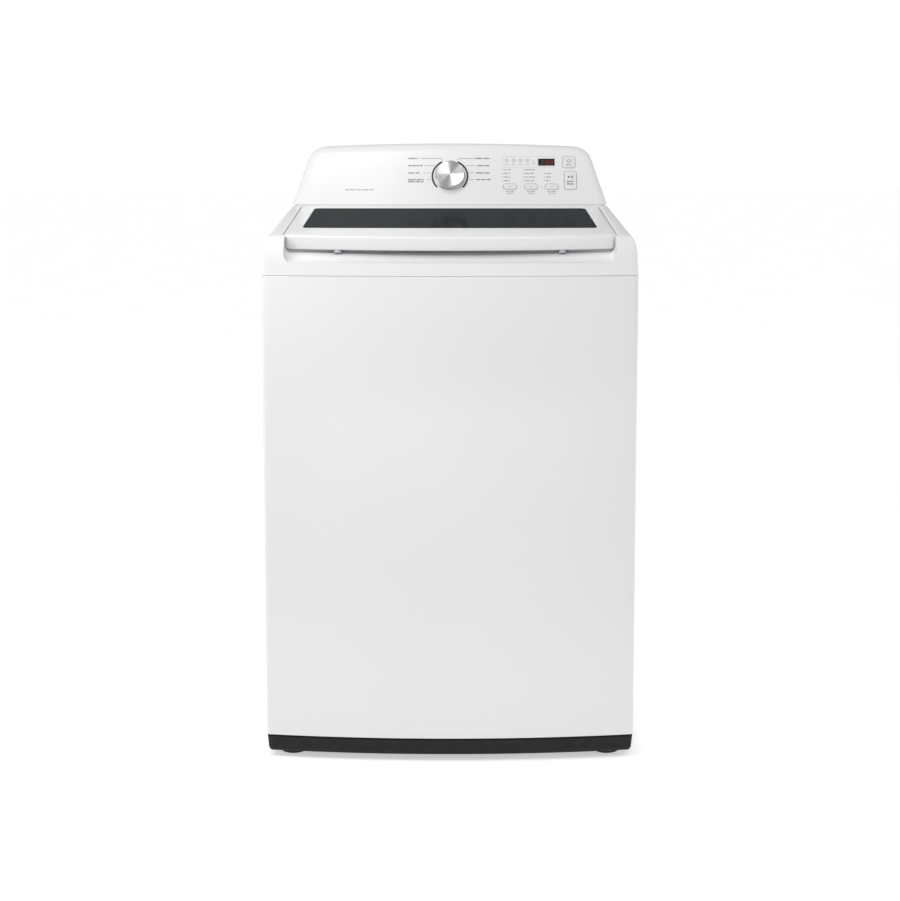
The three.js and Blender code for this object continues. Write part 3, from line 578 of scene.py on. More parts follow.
WHITE = (0.765, 0.768, 0.775)
M = {
    "enamel": enamel("white_enamel", WHITE, 0.24, 0.2, 0.985, 0.02),
    "white_plastic": enamel("white_gloss_plastic", WHITE, 0.3, 0.1, 0.99, 0.012),
    "button_plastic": enamel("white_satin_plastic", (0.73, 0.735, 0.745), 0.35, 0.0, 0.97, 0.06),
    "black_plastic": moulded("black_grained_plastic", (0.006, 0.0062, 0.007), 0.55, specular=0.3),
    "grey_plastic": moulded("grey_plastic", (0.47, 0.49, 0.51), 0.4, 700, 0.12, 0.94),
    "tub_plastic": moulded("natural_polypropylene", (0.66, 0.66, 0.62), 0.45, 500, 0.15, 0.93),
    "rubber": rubber_finish("black_rubber", (0.035, 0.035, 0.037)),
    "stainless": brushed("brushed_stainless", (0.74, 0.75, 0.76), (3, 3, 420), 0.3, 0.93, 0.5, 0.04),
    "steel": brushed("zinc_plated_steel", (0.5, 0.51, 0.53), (60, 60, 60), 0.32, 0.8, 0.0),
    "galvanised": spangled("galvanised_sheet", (0.62, 0.63, 0.64)),
    "cast_aluminium": moulded("cast_aluminium", (0.55, 0.56, 0.57), 0.5, 300, 0.5, 0.85, metallic=0.9),
    "winding": windings("motor_windings"),
    "knob_metal": turned_metal("turned_aluminium", (0.66, 0.665, 0.67)),
    "board": moulded("solder_mask", (0.03, 0.16, 0.07), 0.35, 120, 0.4, 0.6),
    "display": moulded("smoked_window", (0.008, 0.008, 0.009), 0.12, 60, 0.01, 0.8),
    "glass": tinted_glass("tinted_glass"),
    "frit": moulded("black_frit", (0.006, 0.006, 0.0065), 0.18, 900, 0.02, 0.9),
    "ink_black": ink("black_ink", (0.012, 0.012, 0.013)),
    "ink_dark": ink("dark_ink", (0.05, 0.052, 0.056)),
    "ink_grey": ink("grey_ink", (0.24, 0.25, 0.26)),
    "ink_light": ink("light_ink", (0.5, 0.51, 0.52)),
    "lit_red": glowing("lit_red", (0.32, 0.01, 0.022), 0.16),
    "unlit": ink("unlit_segment", (0.07, 0.066, 0.068), 0.3),
    "red_mark": moulded("red_mark", (0.5, 0.03, 0.03), 0.4),
    "blue_mark": moulded("blue_mark", (0.03, 0.1, 0.5), 0.4),
}


# ---------------------------------------------------------------- cabinet

def build_wrap():
    """One bent sheet for the front and both sides, with rear flanges and welded corner gussets."""
    flange = 22
    back = REAR - SHEET - GAP
    top = SEAM - GAP
    rounding = [(1.6, 0), (0.8, 0.35), (0.25, 0.9), (0, 1.6)]
    plan = with_stops(dict(CABINET, rear=back, rear_radius=1.2))
    rings = [ring(inset(plan, side), WRAP_BOTTOM + up) for side, up in rounding]
    rings += [ring(plan, z) for z in (300, 600)]
    rings += [ring(inset(plan, side), top - up) for side, up in reversed(rounding)]
    inner = inset(plan, SHEET + 0.8)
    rings += [ring(inner, z) for z in (top - 0.3, 600, 300, WRAP_BOTTOM + 0.3)]
    wrap = raw_object("cabinet_wrap_skin", loft(rings, True))
    carve(wrap, block((flange - HALF_WIDTH, REAR - 10, 0), (HALF_WIDTH - flange, REAR + 5, top + 50)))
    finish_piece(wrap, "cabinet", "enamel", replaces="cabinet_wrap")
    for side, name in ((-1, "left"), (1, "right")):
        for (low, high), end in (((FRONT + 4, -240), "front"), ((185, back - SHEET - 1), "rear")):
            x = sorted((side * (HALF_WIDTH - SHEET - 2), side * (HALF_WIDTH - 118)))
            plate = raw_object(f"corner_gusset_{end}_{name}", block((x[0], low, 893), (x[1], high, 896)))
            rod_x, rod_y, _ = middle(f"suspension_rod_{end}_{name}")
            carve(plate, rod((rod_x, rod_y, 880), (rod_x, rod_y, 910), 6))
            finish_piece(bevel(plate, 0.8), "cabinet", "galvanised")


def build_base():
    """Black kick base with a lip inside the wrap and a deck round the motor."""
    deck_low, deck_high = 50, 53
    motor_hole = dict(half=185, front=-235, rear=45, bow=4, front_radius=40, rear_radius=40)
    kick = dict(CABINET, rear=REAR - 3)
    rows = [(12, BASE_LOW), (8, BASE_LOW), (5.8, BASE_LOW + 2.2), (4.6, BASE_LOW + 4.5), (3.8, BASE_LOW + 7),
            (3.3, BASE_LOW + 10), (2.2, WRAP_BOTTOM - 9), (1.6, WRAP_BOTTOM - 5), (1.6, WRAP_BOTTOM - 3.2),
            (2.0, WRAP_BOTTOM - 2.4), (3.2, WRAP_BOTTOM - 2.0), (3.2, 62), (6, 62), (6, deck_high)]
    rings = [ring(inset(kick, side), z) for side, z in rows]
    rings += [ring(motor_hole, deck_high), ring(motor_hole, deck_low), ring(inset(kick, 12), deck_low)]
    base = raw_object("base_moulding", loft(rings, True))
    studs = [middle(node)[:2] for node in LEGS]
    carve(base, *[rod((*place, 40), (*place, 60), 7) for place in studs])
    finish_piece(base, "cabinet", "black_plastic", replaces="base_frame", sharp=30)


def build_legs():
    """Threaded studs with a hexagonal nut, on round pads."""
    for node in LEGS:
        x, y, _ = middle(node)
        top = span(node)[1][2]
        thread = [(0, 17)]
        turns = 16
        pitch = (top - 20) / turns
        for k in range(turns):
            thread += [(5.1, 18 + k * pitch), (6, 18 + (k + 0.5) * pitch)]
        thread += [(5.0, top - 1.5), (4.0, top), (0, top)]
        add(f"{node}_stud", turned(thread, 32, (x, y)), "cabinet", "steel", replaces=node, sharp=25)
        nut = prism(arc(x, y, 11, 0, 2 * math.pi, 6)[:-1], 13, 20)
        add(f"{node}_nut", nut, "cabinet", "steel", edge=0.7)
        pad = [(0, 0), (20.5, 0), (22.4, 0.8), (23, 2.2), (23, 6.5), (22.2, 8), (14, 11.5), (13, 12.8),
               (0, 12.8)]
        add(f"{node}_pad", turned(pad, 64, (x, y)), "cabinet", "rubber")


def louvre(x, back, z):
    """A hood pushed out of the sheet, drawn down at both ends."""
    hood = [(0, 0), (3.2, 1.2), (4.0, 3.0), (3.4, 5.2), (0, 7.5), (0, 6.3), (2.4, 4.4), (2.9, 3.0),
            (2.2, 2.0)]
    depths = ((-55, 0.05), (-52, 0.7), (-47, 1), (47, 1), (52, 0.7), (55, 0.05))
    return skinned([np.array([(x + across, back + 0.05 + out * depth, z + up) for out, up in hood])
                    for across, depth in depths])


def build_rear_panel():
    """Galvanised panel with a raised frame, stamped louvres and its screws."""
    low, high = span("rear_panel")
    back = high[1]
    panel = raw_object("rear_panel_sheet", block(low, high))
    drain_spigot, power_cord = (305, 832, 16), (-280, 866, 10)
    holes = [(x, INLET_HEIGHT, 13.5) for x in INLETS.values()] + [drain_spigot, power_cord]
    carve(panel, *[rod((x, back - 5, z), (x, back + 5, z), radius, 48) for x, z, radius in holes])
    finish_piece(bevel(panel, 0.3, 2), "cabinet", "galvanised", replaces="rear_panel")
    beads = []
    for inset_by in (26, 250):
        plan = rounded(high[0] * 2 - 2 * inset_by, 700 - 1.4 * inset_by, 30, 8, 0, 440)
        beads.append(swept([(x, back, z) for x, z in plan], 2.4, 10, True))
    add("rear_panel_beads", merged(*beads), "cabinet", "galvanised")
    louvres = [louvre(x, back, 180 + row * 20) for x in (-170, 0, 170) for row in range(9)]
    add("rear_panel_louvres", merged(*louvres), "cabinet", "galvanised")
    places = [(x, z) for x in (-330, 330) for z in (60, 330, 610, 890)]
    places += [(x, z) for x in (-110, 110) for z in (60, 890)]
    screws("rear_panel_screws", [((x, back, z), (0, 1, 0)) for x, z in places], 4.6)
    collar = [(12.6, 0.1), (20, 0.1), (20, 1.4), (18.5, 2.4), (13.4, 2.4), (12.6, 1.8)]
    for (word, x), look in zip(INLETS.items(), ("red_mark", "blue_mark")):
        add(f"inlet_collar_{word}", on_inlet(turned(collar, 64), x, back), "cabinet", look)


def on_inlet(shape, x, y):
    """A shape turned about Z, laid on an inlet's axis."""
    points, faces = shape
    return np.column_stack([points[:, 0] + x, points[:, 2] + y, points[:, 1] + INLET_HEIGHT]), faces


def screws(name, places, radius):
    """Pan heads with a cross recess, at (point, outward direction)."""
    head = [(0, -1.2), (radius * 0.55, -1.2), (radius * 0.55, 0), (radius, 0), (radius * 0.97, radius * 0.22),
            (radius * 0.75, radius * 0.42), (radius * 0.4, radius * 0.52), (0, radius * 0.55)]

    def facing(shape, point, outward):
        turn = np.array(Vector(outward).to_track_quat("Z", "Y").to_matrix())
        return np.array(shape[0]) @ turn.T + np.array(point), shape[1]

    obj = raw_object(name, merged(*[facing(turned(head, 28), *place) for place in places]))
    long, thin, floor, top = radius * 0.55, radius * 0.13, radius * 0.22, radius
    slots = (((-long, -thin, floor), (long, thin, top)), ((-thin, -long, floor), (thin, long, top)))
    tools = [facing(block(low, high), *place) for place in places for low, high in slots]
    carve(obj, merged(*tools[::2]), merged(*tools[1::2]))
    return finish_piece(obj, "cabinet", "steel", sharp=30)


# ---------------------------------------------------------------- top cover

def cover_top(y):
    return COVER_FRONT_TOP + (min(y, CONSOLE_FOOT) - FRONT) * COVER_SLOPE


def recess_floor(y):
    return cover_top(y) - RECESS_DEPTH


# Share of the height, inset at the sides, inset at the front, extra inset gained towards the rear.
SHOULDER = [(0, 0, 0, 0), (0.28, 1.2, 1, 0), (0.57, 2.5, 4, 1.5), (0.8, 5.5, 10, 3), (0.93, 9.5, 18, 5),
            (0.985, 15, 28, 6), (1, 24, 40, 6)]


def smoothed(rows, steps):
    """Catmull-Rom rows between the given ones."""
    rows = np.array(rows, float)
    padded = np.concatenate([[2 * rows[0] - rows[1]], rows, [2 * rows[-1] - rows[-2]]])
    made = []
    for k in range(len(rows) - 1):
        a, b, c, d = padded[k:k + 4]
        for t in np.arange(steps) / steps:
            made.append(0.5 * (2 * b + (c - a) * t + (2 * a - 5 * b + 4 * c - d) * t ** 2
                               + (3 * b - a - 3 * c + d) * t ** 3))
    made.append(rows[-1])
    return np.array(made)


def cover_rings(shrink, start, lower):
    rings = []
    for k, (share, side, front, taper) in enumerate(smoothed(SHOULDER, 4)):
        plan = dict(inset(CABINET, side + shrink, front + shrink, shrink),
                    stops=[-250, -200, -130, -60, 20, 90, 140, CONSOLE_FOOT, CONSOLE_FOOT + 40])
        base = start if k == 0 else SEAM
        share = min(share, 1)
        points = ring(plan, lambda y: base + (cover_top(y) - lower - base) * share)
        along = np.clip((points[:, 1] - FRONT) / (CONSOLE_FOOT - FRONT), 0, 1)
        points[:, 0] *= 1 - taper * along / HALF_WIDTH
        rings.append(points)
    return rings


def lid_recess(grow, flare=0):
    """The space for the closed lid; a flare rounds the edge that it leaves in the cover."""
    side_gap, front_gap, rear_gap, rear_radius = 1.4, 3, 6, 14
    room = inset(LID, -side_gap - grow, -front_gap - grow, -rear_gap - grow)
    plan = dict(with_stops(room), rear_radius=rear_radius + grow)
    rings = [ring(plan, lambda y: cover_top(y) - RECESS_DEPTH - grow)]
    for turn in (0, 22.5, 45, 67.5, 90) if flare else ():
        out, up = flare * (1 - math.cos(math.radians(turn))), flare * (math.sin(math.radians(turn)) - 1)
        wider = with_stops(dict(inset(plan, -out), rear_radius=rear_radius + grow + out))
        rings.append(ring(wider, lambda y: cover_top(y) + up))
    last = rings[-1].copy()
    last[:, 2] = 1080
    return loft(rings + [last])


def finger_scoop(grow, flare=0):
    """Rounded slot across the front under the lid's edge, with a dished floor."""
    half, rim, back, radius = 302 + grow, 927 - grow, -306 + grow, 14 + grow
    widest = 320
    bow_radius = (HALF_WIDTH ** 2 + BOW ** 2) / (2 * BOW)

    def surface(x):
        return FRONT - BOW + bow_radius - math.sqrt(bow_radius ** 2 - x ** 2)

    def section(wider, lift, share, outside):
        across = [(-half - wider, 1080)]
        across += arc(-half + radius, rim + lift + radius, radius + wider, math.pi, 1.5 * math.pi, 8)
        across += [(x, rim + lift - wider) for x in np.linspace(-half + radius, half - radius, 25)[1:-1]]
        across += arc(half - radius, rim + lift + radius, radius + wider, -math.pi / 2, 0, 8)
        across += [(half + wider, 1080)]
        points = []
        for x, z in across:
            start = surface(max(-widest, min(widest, x))) - outside
            points.append((x, start + (back - start) * share, z))
        return np.array(points)

    rows = [section(flare, 0, 0, 40)]
    for turn in (0, 22.5, 45, 67.5, 90) if flare else ():
        angle = math.radians(turn)
        rows.append(section(flare * (1 - math.sin(angle)), 0, 0, -flare * (1 - math.cos(angle))))
    floor = [(0.1, 0.3), (0.24, 1.7), (0.38, 4.0), (0.5, 6.8), (0.62, 10.0), (0.76, 13.6), (0.9, 17.5),
             (1.0, 22)]
    rows += [section(0, lift, share, -flare) for share, lift in floor]
    return skinned(rows)


def opening_plan(grow, corner):
    """The laundry opening's outline, made wider by grow all round."""
    return rounded(OPENING_WIDTH + 2 * grow, OPENING_DEPTH + 2 * grow, corner, 14, 0, OPENING_Y)


def laundry_opening(grow):
    return prism(opening_plan(grow, OPENING_CORNER + grow), 900, 1000)


def build_cover():
    """Moulded top cover with rounded shoulders, the lid's recess, finger scoop and laundry opening."""
    cover = raw_object("top_cover_moulding", loft(cover_rings(0, SEAM, 0)))
    inside = raw_object("cover_inside", loft(cover_rings(SKIN, SEAM - 2, SKIN)))
    carve(inside, lid_recess(SKIN), finger_scoop(SKIN), laundry_opening(SKIN))
    low, high = span("lid_strike")
    x = middle("lid_strike")[0]
    for_strike = block((x - 5, low[1] - 12, 930), (x + 5, high[1] + 7, 970))
    low, high = span("fill_nozzle")
    for_nozzle = block((low[0] - 1, 120, low[2] - 0.6), (high[0] + 1, 140, high[2] + 0.6))
    under_console = block((-150, 220, 960), (150, 320, 1020))
    carve(cover, inside, lid_recess(0, 3.2), finger_scoop(0, 3), laundry_opening(0), for_strike, for_nozzle,
          hinge_bore(HINGE_END + 0.5, 3.4), under_console)
    finish_piece(cover, "cabinet", "white_plastic", replaces="top_cover", sharp=33)


def build_cover_details():
    """Rest for the lid's front, lip of the laundry opening, lid bumpers and the lock's bezel."""
    rest_y = -303.5
    rest = [(-1.6, -0.4), (1.6, -0.4), (1.6, 3.4), (0.9, 4.5), (-0.9, 4.5), (-1.6, 3.4)]
    ends = [np.array([(x, rest_y + across, recess_floor(rest_y) + up) for across, up in rest])
            for x in (-307, 307)]
    add("lid_rest", skinned(ends), "cabinet", "white_plastic")
    plan = opening_plan(1.5, OPENING_CORNER + 1)
    lip = swept([(x, y, recess_floor(y) + 0.6) for x, y in plan], 2.2, 10, True)
    add("opening_lip", lip, "cabinet", "grey_plastic")
    for x, side in ((-205, "left"), (205, "right")):
        y = -318
        dome = [(0, -2.5), (7, -2.5), (7, 0.4), (6, 1.8), (3.5, 2.7), (0, 3)]
        shape = turned(dome, 40, (x, y))
        add(f"lid_bumper_{side}", moved(shape, (0, 0, recess_floor(y) + 3.0)), "cabinet", "grey_plastic")
    x, y = middle("lid_strike")[:2] - (0, 2.5)
    height = recess_floor(y)
    bezel = raw_object("lock_bezel", prism(rounded(22, 52, 5, 6, x, y), height - 0.5, height + 1.6))
    carve(bezel, prism(rounded(10.4, 39.4, 3, 5, x, y), height - 5, height + 9))
    finish_piece(bevel(bezel, 0.5), "cabinet", "grey_plastic")


# ---------------------------------------------------------------- lid

def lid_edge(y):
    return cover_top(y) - 1


def skirt_end(y):
    return lid_edge(y) - LID_DEPTH


def glass_top(y):
    return 983.5 + (y + 240) * 0.0568


def above(surface, by):
    """A height that follows a sloping surface."""
    return lambda y: surface(y) + by


def band(plan, side, height):
    """A ring moved in from an outline, at a height that may slope."""
    return ring(with_stops(inset(plan, side)), height)


def build_lid():
    """White frame, tinted glass with a black printed border, grey inner frame and its hardware."""
    ledge = -GLASS_THICK - GAP
    rows = [(3.5, above(skirt_end, 0)), (2.6, above(skirt_end, 0)), (1.5, above(skirt_end, 0.5)),
            (1.0, above(skirt_end, 1.6))]
    rows += [(side, above(lid_edge, by)) for side, by in
             ((0.6, -12), (0.1, -6), (0, -4.2), (0.25, -2.6), (1.0, -1.2), (2.4, -0.35), (5, 0.1))]
    rings = [band(LID, side, height) for side, height in rows]
    rings += [band(GLASS, side, above(glass_top, by)) for side, by in
              ((-1.6, 0.25), (-0.8, 0), (-0.6, -0.8), (-0.6, ledge), (10, ledge), (10, -8))]
    rings.append(band(LID, 3.5, above(lid_edge, -3.5)))
    shell = raw_object("lid_frame_moulding", loft(rings, True))
    finish_piece(shell, "lid", "white_plastic", replaces="lid_frame", sharp=33)
    for side, name in ((-1, "left"), (1, "right")):
        x = sorted((side * 287.5, side * 300.5))
        ear = raw_object(f"hinge_ear_{name}", block((x[0], 157.5, 990), (x[1], 169.6, 1004)))
        carve(ear, hinge_bore(330, 3.3))
        finish_piece(bevel(ear, 0.6), "lid", "white_plastic")

    edge = [(0.5, -GLASS_THICK), (0.1, -GLASS_THICK + 0.5), (0.1, -0.5), (0.5, -0.05), (1.4, 0)]
    pane = loft([band(GLASS, side, above(glass_top, by)) for side, by in edge])
    add("lid_glass_pane", pane, "lid", "glass", replaces="lid_glass", sharp=50)
    under = -GLASS_THICK - 0.02
    border = [(0.9, under), (9.6, under), (9.6, under - 0.16), (0.9, under - 0.16)]
    frit = loft([band(GLASS, side, above(glass_top, by)) for side, by in border], True)
    add("lid_glass_border", frit, "lid", "frit")

    bottom = above(skirt_end, 1)
    inner = [(LID, 4.4, above(bottom, 0.4)), (LID, 4.4, above(bottom, 3)), (GLASS, 12, above(bottom, 3)),
             (GLASS, 12, above(glass_top, -8.5)), (GLASS, 15, above(glass_top, -8.5)),
             (GLASS, 15, above(bottom, 3)), (GLASS, 16.5, above(bottom, 0.6)), (GLASS, 19, bottom),
             (LID, 6, bottom)]
    inner_frame = loft([band(*row) for row in inner], True)
    add("lid_inner_moulding", inner_frame, "lid", "grey_plastic", replaces="lid_inner_frame", sharp=30)


# ---------------------------------------------------------------- console

def console_outline(margin):
    """Front outline in x and z, moved in by a margin; it starts at the middle of the base."""
    lean = math.atan(CONSOLE_DRAFT)
    up, inward = np.array((-math.sin(lean), math.cos(lean))), np.array((-math.cos(lean), -math.sin(lean)))
    foot = np.array((CONSOLE_HALF, CONSOLE_BASE))
    corner = CONSOLE_CORNER - margin
    crown_radius = (CROWN_HALF ** 2 + CONSOLE_CROWN ** 2) / (2 * CONSOLE_CROWN)
    crown_centre = np.array((0, CONSOLE_TOP - crown_radius))
    start = foot + inward * CONSOLE_CORNER
    to_start = start - crown_centre
    along = to_start @ up
    reach = crown_radius - CONSOLE_CORNER
    centre = start + up * (-along + math.sqrt(along ** 2 - to_start @ to_start + reach ** 2))
    crown_angle = math.atan2(centre[1] - crown_centre[1], centre[0])
    base = np.array((CONSOLE_HALF - margin / math.cos(lean), CONSOLE_BASE))
    side_end = centre - inward * corner
    half = [tuple(base + (side_end - base) * share) for share in (0, 0.02, 0.2, 0.4, 0.6, 0.8, 0.97)]
    half += arc(centre[0], centre[1], corner, lean, crown_angle, 14)
    half += arc(0, crown_centre[1], crown_radius - margin, crown_angle, math.pi / 2, 14)[1:-1]
    left = [(-x, z) for x, z in reversed(half)]
    return [(0, CONSOLE_BASE), *half, (0, CONSOLE_TOP - margin), *left]


def face_y(z):
    return CONSOLE_FOOT + (z - CONSOLE_BASE) * math.tan(FACE_LEAN)


def console_solid(margin, base, rear):
    """Leaning face, rounded edge, then straight back to the rear."""

    def drop(z):
        return base if z <= CONSOLE_BASE else z

    rings = []
    for turn in np.radians(np.linspace(0, 90, 10)):
        depth = CONSOLE_EDGE * (1 - math.cos(turn)) + margin / math.cos(FACE_LEAN)
        plan = console_outline(CONSOLE_EDGE * (1 - math.sin(turn)) + margin)
        rings.append(np.array([(x, face_y(drop(z)) + depth, drop(z)) for x, z in plan]))
    rings.append(np.array([(x, rear, drop(z)) for x, z in console_outline(margin)]))
    return loft(rings)


BUTTON_BODIES = {"button_power": "power_button", "button_start_pause": "start_button",
                 "button_option_left": "option_left_button", "button_option_middle": "option_middle_button",
                 "button_option_right": "option_right_button"}
PANEL_CORNERS = {**dict.fromkeys(BUTTON_BODIES, 5), "display_window": 1.5}


def build_console():
    housing = raw_object("console_shell", console_solid(0, CONSOLE_BASE, REAR))
    tools = [console_solid(SKIN, CONSOLE_BASE - 5, REAR + 5)]
    for node, radius in PANEL_CORNERS.items():
        x, up, width, height = face_panel(node)
        tools.append(on_face(prism(rounded(width + 1, height + 1, radius + 0.5, 6, x, up), -12, 12)))
    tools.append(on_face(rod((0, KNOB_UP, -12), (0, KNOB_UP, 12), 5.5)))
    carve(housing, *tools)
    finish_piece(housing, "cabinet", "white_plastic", replaces="console_housing", sharp=30)
    low, high = span("console_rear_cover")
    plate = [(x, max(z, CONSOLE_BASE + 0.5)) for x, z in console_outline(SKIN + 2)]
    points, faces = prism(plate, low[1], high[1])
    cover = raw_object("console_back_plate", (points[:, [0, 2, 1]], faces))
    finish_piece(bevel(cover, 0.4, 2), "cabinet", "galvanised", replaces="console_rear_cover")
    places = [(x, 1020) for x in (-300, -150, 150, 300)] + [(-240, 1116), (0, 1120), (240, 1116)]
    screws("console_back_screws", [((x, high[1], z), (0, 1, 0)) for x, z in places], 4.2)


def knob_up():
    """Where the knob's axis meets the face."""
    place = Vector(JOINTS["cycle_knob_turn"]["pos_m"]) / MM - FACE_PLACE
    return place @ (FACE_TURN @ Vector((0, 1, 0)))


KNOB_UP = knob_up()
KNOB_HEIGHT = 13.5


def build_knob():
    """Turned aluminium knob with a shadow groove over its skirt."""
    top = KNOB_HEIGHT
    skirt = [(0, 0.8), (30.4, 0.8), (31.3, 1.2), (31.5, 1.8), (31.5, 3.2), (31.2, 3.8), (30.4, 4.1)]
    groove = [(28.0, 4.2), (27.4, 4.5), (27.4, 5.3), (28.0, 5.6), (30.0, 5.7), (30.4, 6.0), (30.5, 6.6)]
    rim = [(30.4, top - 2.2), (30.2, top - 1.4), (29.3, top - 0.3), (28.8, top), (28.2, top - 0.1),
           (27.8, top - 0.5), (27.2, top - 0.6), (12, top - 0.75), (0, top - 0.8)]
    knob = raw_object("cycle_knob_cap", turned(skirt + groove + rim, 128))
    place = (FACE_PLACE + FACE_TURN @ Vector((0, KNOB_UP, 0))) * MM
    knob.matrix_world = Matrix.Translation(place) @ FACE_TURN.to_4x4()
    finish_piece(knob, "knob", "knob_metal", replaces="cycle_knob", sharp=25)


def build_buttons():
    for node, body in BUTTON_BODIES.items():
        x, up, width, height = face_panel(node)
        low, high = face_span(node)
        plan = rounded(width, height, PANEL_CORNERS[node], 10, x, up)
        cap = bevel(raw_object(f"{node}_cap", on_face(prism(plan, low[2], high[2]))), 0.8, 4)
        finish_piece(cap, body, "button_plastic", replaces=node)


# ---------------------------------------------------------------- printing on the console

class Print:
    """Flat printed shapes on the console face, a hair above what they are printed on."""

    def __init__(self, level=0.0):
        self.shapes = []
        self.low, self.high = level - 0.06, level + 0.07

    def solid(self, points):
        self.shapes.append(prism(points, self.low, self.high))

    def bar(self, x, up, width, height, radius=None):
        self.solid(rounded(width, height, min(width, height) * 0.3 if radius is None else radius, 3, x, up))

    def line(self, points, width):
        """A stroke of even width along points."""
        points = [np.array(p, float) for p in points]
        left, right = [], []
        for i, point in enumerate(points):
            along = points[min(i + 1, len(points) - 1)] - points[max(i - 1, 0)]
            along = along / np.linalg.norm(along)
            normal = np.array((-along[1], along[0])) * width / 2
            left.append(point + normal)
            right.append(point - normal)
        self.solid(right + left[::-1])

    def loop(self, points, width):
        """A closed stroke along a convex outline."""
        points = np.array(points)
        centre = points.mean(0)
        count = len(points)
        ahead, behind = np.roll(points, -1, 0), np.roll(points, 1, 0)
        along = ahead - behind
        normal = np.column_stack([along[:, 1], -along[:, 0]])
        normal /= np.linalg.norm(normal, axis=1)[:, None]
        normal *= np.sign(((points - centre) * normal).sum(1))[:, None]
        rings = []
        for offset, level in ((0.5, self.low), (0.5, self.high), (-0.5, self.high), (-0.5, self.low)):
            rings.append(np.column_stack([points + normal * offset * width, np.full(count, level)]))
        self.shapes.append(loft(rings, True))

    def words(self, x, up, width, height, seed, align="left"):
        """A stand-in for a line of small print: rows of short strokes in word-like groups."""
        draw = np.random.default_rng(seed)
        stroke = height * 0.62
        place = 0
        runs = []
        while place + stroke < width:
            for _ in range(int(draw.integers(3, 7))):
                if place + stroke > width:
                    break
                runs.append((place, height * float(draw.choice([0.78, 1.0, 1.0]))))
                place += stroke * 1.42
            place += stroke * 0.9
        shift = {"left": 0, "right": -width, "middle": -width / 2}[align]
        for start, tall in runs:
            self.bar(x + shift + start + stroke / 2, up + (tall - height) / 2, stroke, tall, 0.15)

    def add(self, name, body, look, slot=None):
        return add(name, on_face(merged(*self.shapes)), body, look)


def build_scale():
    """Two arcs round the knob, with leader lines out to the programme names."""
    arcs = Print()
    radius = 36.6
    for side in (-1, 1):
        start, end = math.radians(90 - side * 26), math.radians(90 - side * 133)
        arcs.line(arc(0, KNOB_UP, radius, start, end, 40), 3.7)
    arcs.add("knob_scale_arcs", "cabinet", "ink_black", "white_plastic")
    leaders, names = Print(), Print()
    rows = (106, 89.2, 72.6, 57.2)
    leader_starts = {-1: (61.6, 52.5, 55, 49), 1: (49.5, 52, 51, 51)}
    left_names, right_starts = (21.7, 30, 25, 34), (52.6, 57, 55, 55)
    for side in (-1, 1):
        for row, up in enumerate(rows):
            start = side * leader_starts[side][row]
            if row == 0:
                leaders.line([(start, up), (side * 18.5, up), (side * 15.5, up - 4.5)], 1.1)
            else:
                touch = math.sqrt(max((radius + 4) ** 2 - (up - KNOB_UP) ** 2, 0))
                leaders.line([(start, up), (side * touch, up)], 0.9)
            if side < 0:
                names.words(-86.9, up, left_names[row], 3.0, 10 + row)
            else:
                names.words(right_starts[row], up, 84.6 - right_starts[row], 3.0, 20 + row)
    names.words(-86.9, rows[-1] - 4.6, 34, 3.0, 41)
    leaders.add("knob_scale_leaders", "cabinet", "ink_grey", "white_plastic")
    names.add("programme_names", "cabinet", "ink_dark", "white_plastic")
    small = Print()
    small.words(-217, 34, 60, 2.6, 77)
    small.add("small_print", "cabinet", "ink_grey", "white_plastic")


def build_indicator_print():
    """Frame round the display, indicator lights with their names, and the option buttons' outlines."""
    frame_print = Print()
    frame_print.loop(rounded(108, 24, 1.2, 3, 164.5, 98), 0.55)
    lights, names, icons = Print(), Print(), Print()
    for x in (118, 133, 147.5, 162):
        icons.loop(rounded(6.6, 6.0, 1.4, 4, x, 101), 0.8)
        icons.bar(x, 101, 2.6, 0.8)
        icons.words(x, 92.5, 7.5, 1.5, int(x), "middle")
    icons.words(174.5, 99.5, 5.5, 1.6, 3, "middle")
    icons.words(174.5, 94.0, 5.5, 1.6, 4, "middle")
    for column, x in enumerate((109.5, 153.5, 196.5)):
        for row, up in enumerate((79.8, 71.4, 63.1, 54.8)):
            if column == 2 and row == 0:
                continue
            lights.bar(x, up, 2.6, 1.8, 0.8)
            names.words(x + 3.2, up, (15, 21, 13)[column] - row % 2 * 3, 2.4, 60 + 7 * column + row)
    for node in ("button_option_left", "button_option_middle", "button_option_right"):
        x, up, width, height = face_panel(node)
        frame_print.loop(rounded(width + 2.6, height + 2.6, 6, 6, x, up), 0.6)
        names.words(x, up - height / 2 - 5.2, 18, 2.3, int(x), "middle")
        names.words(x, up - height / 2 - 9.2, 13, 2.0, int(x) + 1, "middle")
    for x in (146.8, 190):
        frame_print.bar(x, 41, 3.6, 1.1)
    for node in ("button_power", "button_start_pause"):
        x, up, width, height = face_panel(node)
        frame_print.loop(rounded(width + 2.4, height + 2.4, 6.2, 6, x, up), 0.55)
    frame_print.add("panel_outlines", "cabinet", "ink_light", "white_plastic")
    lights.add("indicator_lights", "cabinet", "ink_grey", "white_plastic")
    names.add("indicator_names", "cabinet", "ink_grey", "white_plastic")
    icons.add("garment_icons", "cabinet", "ink_grey", "white_plastic")


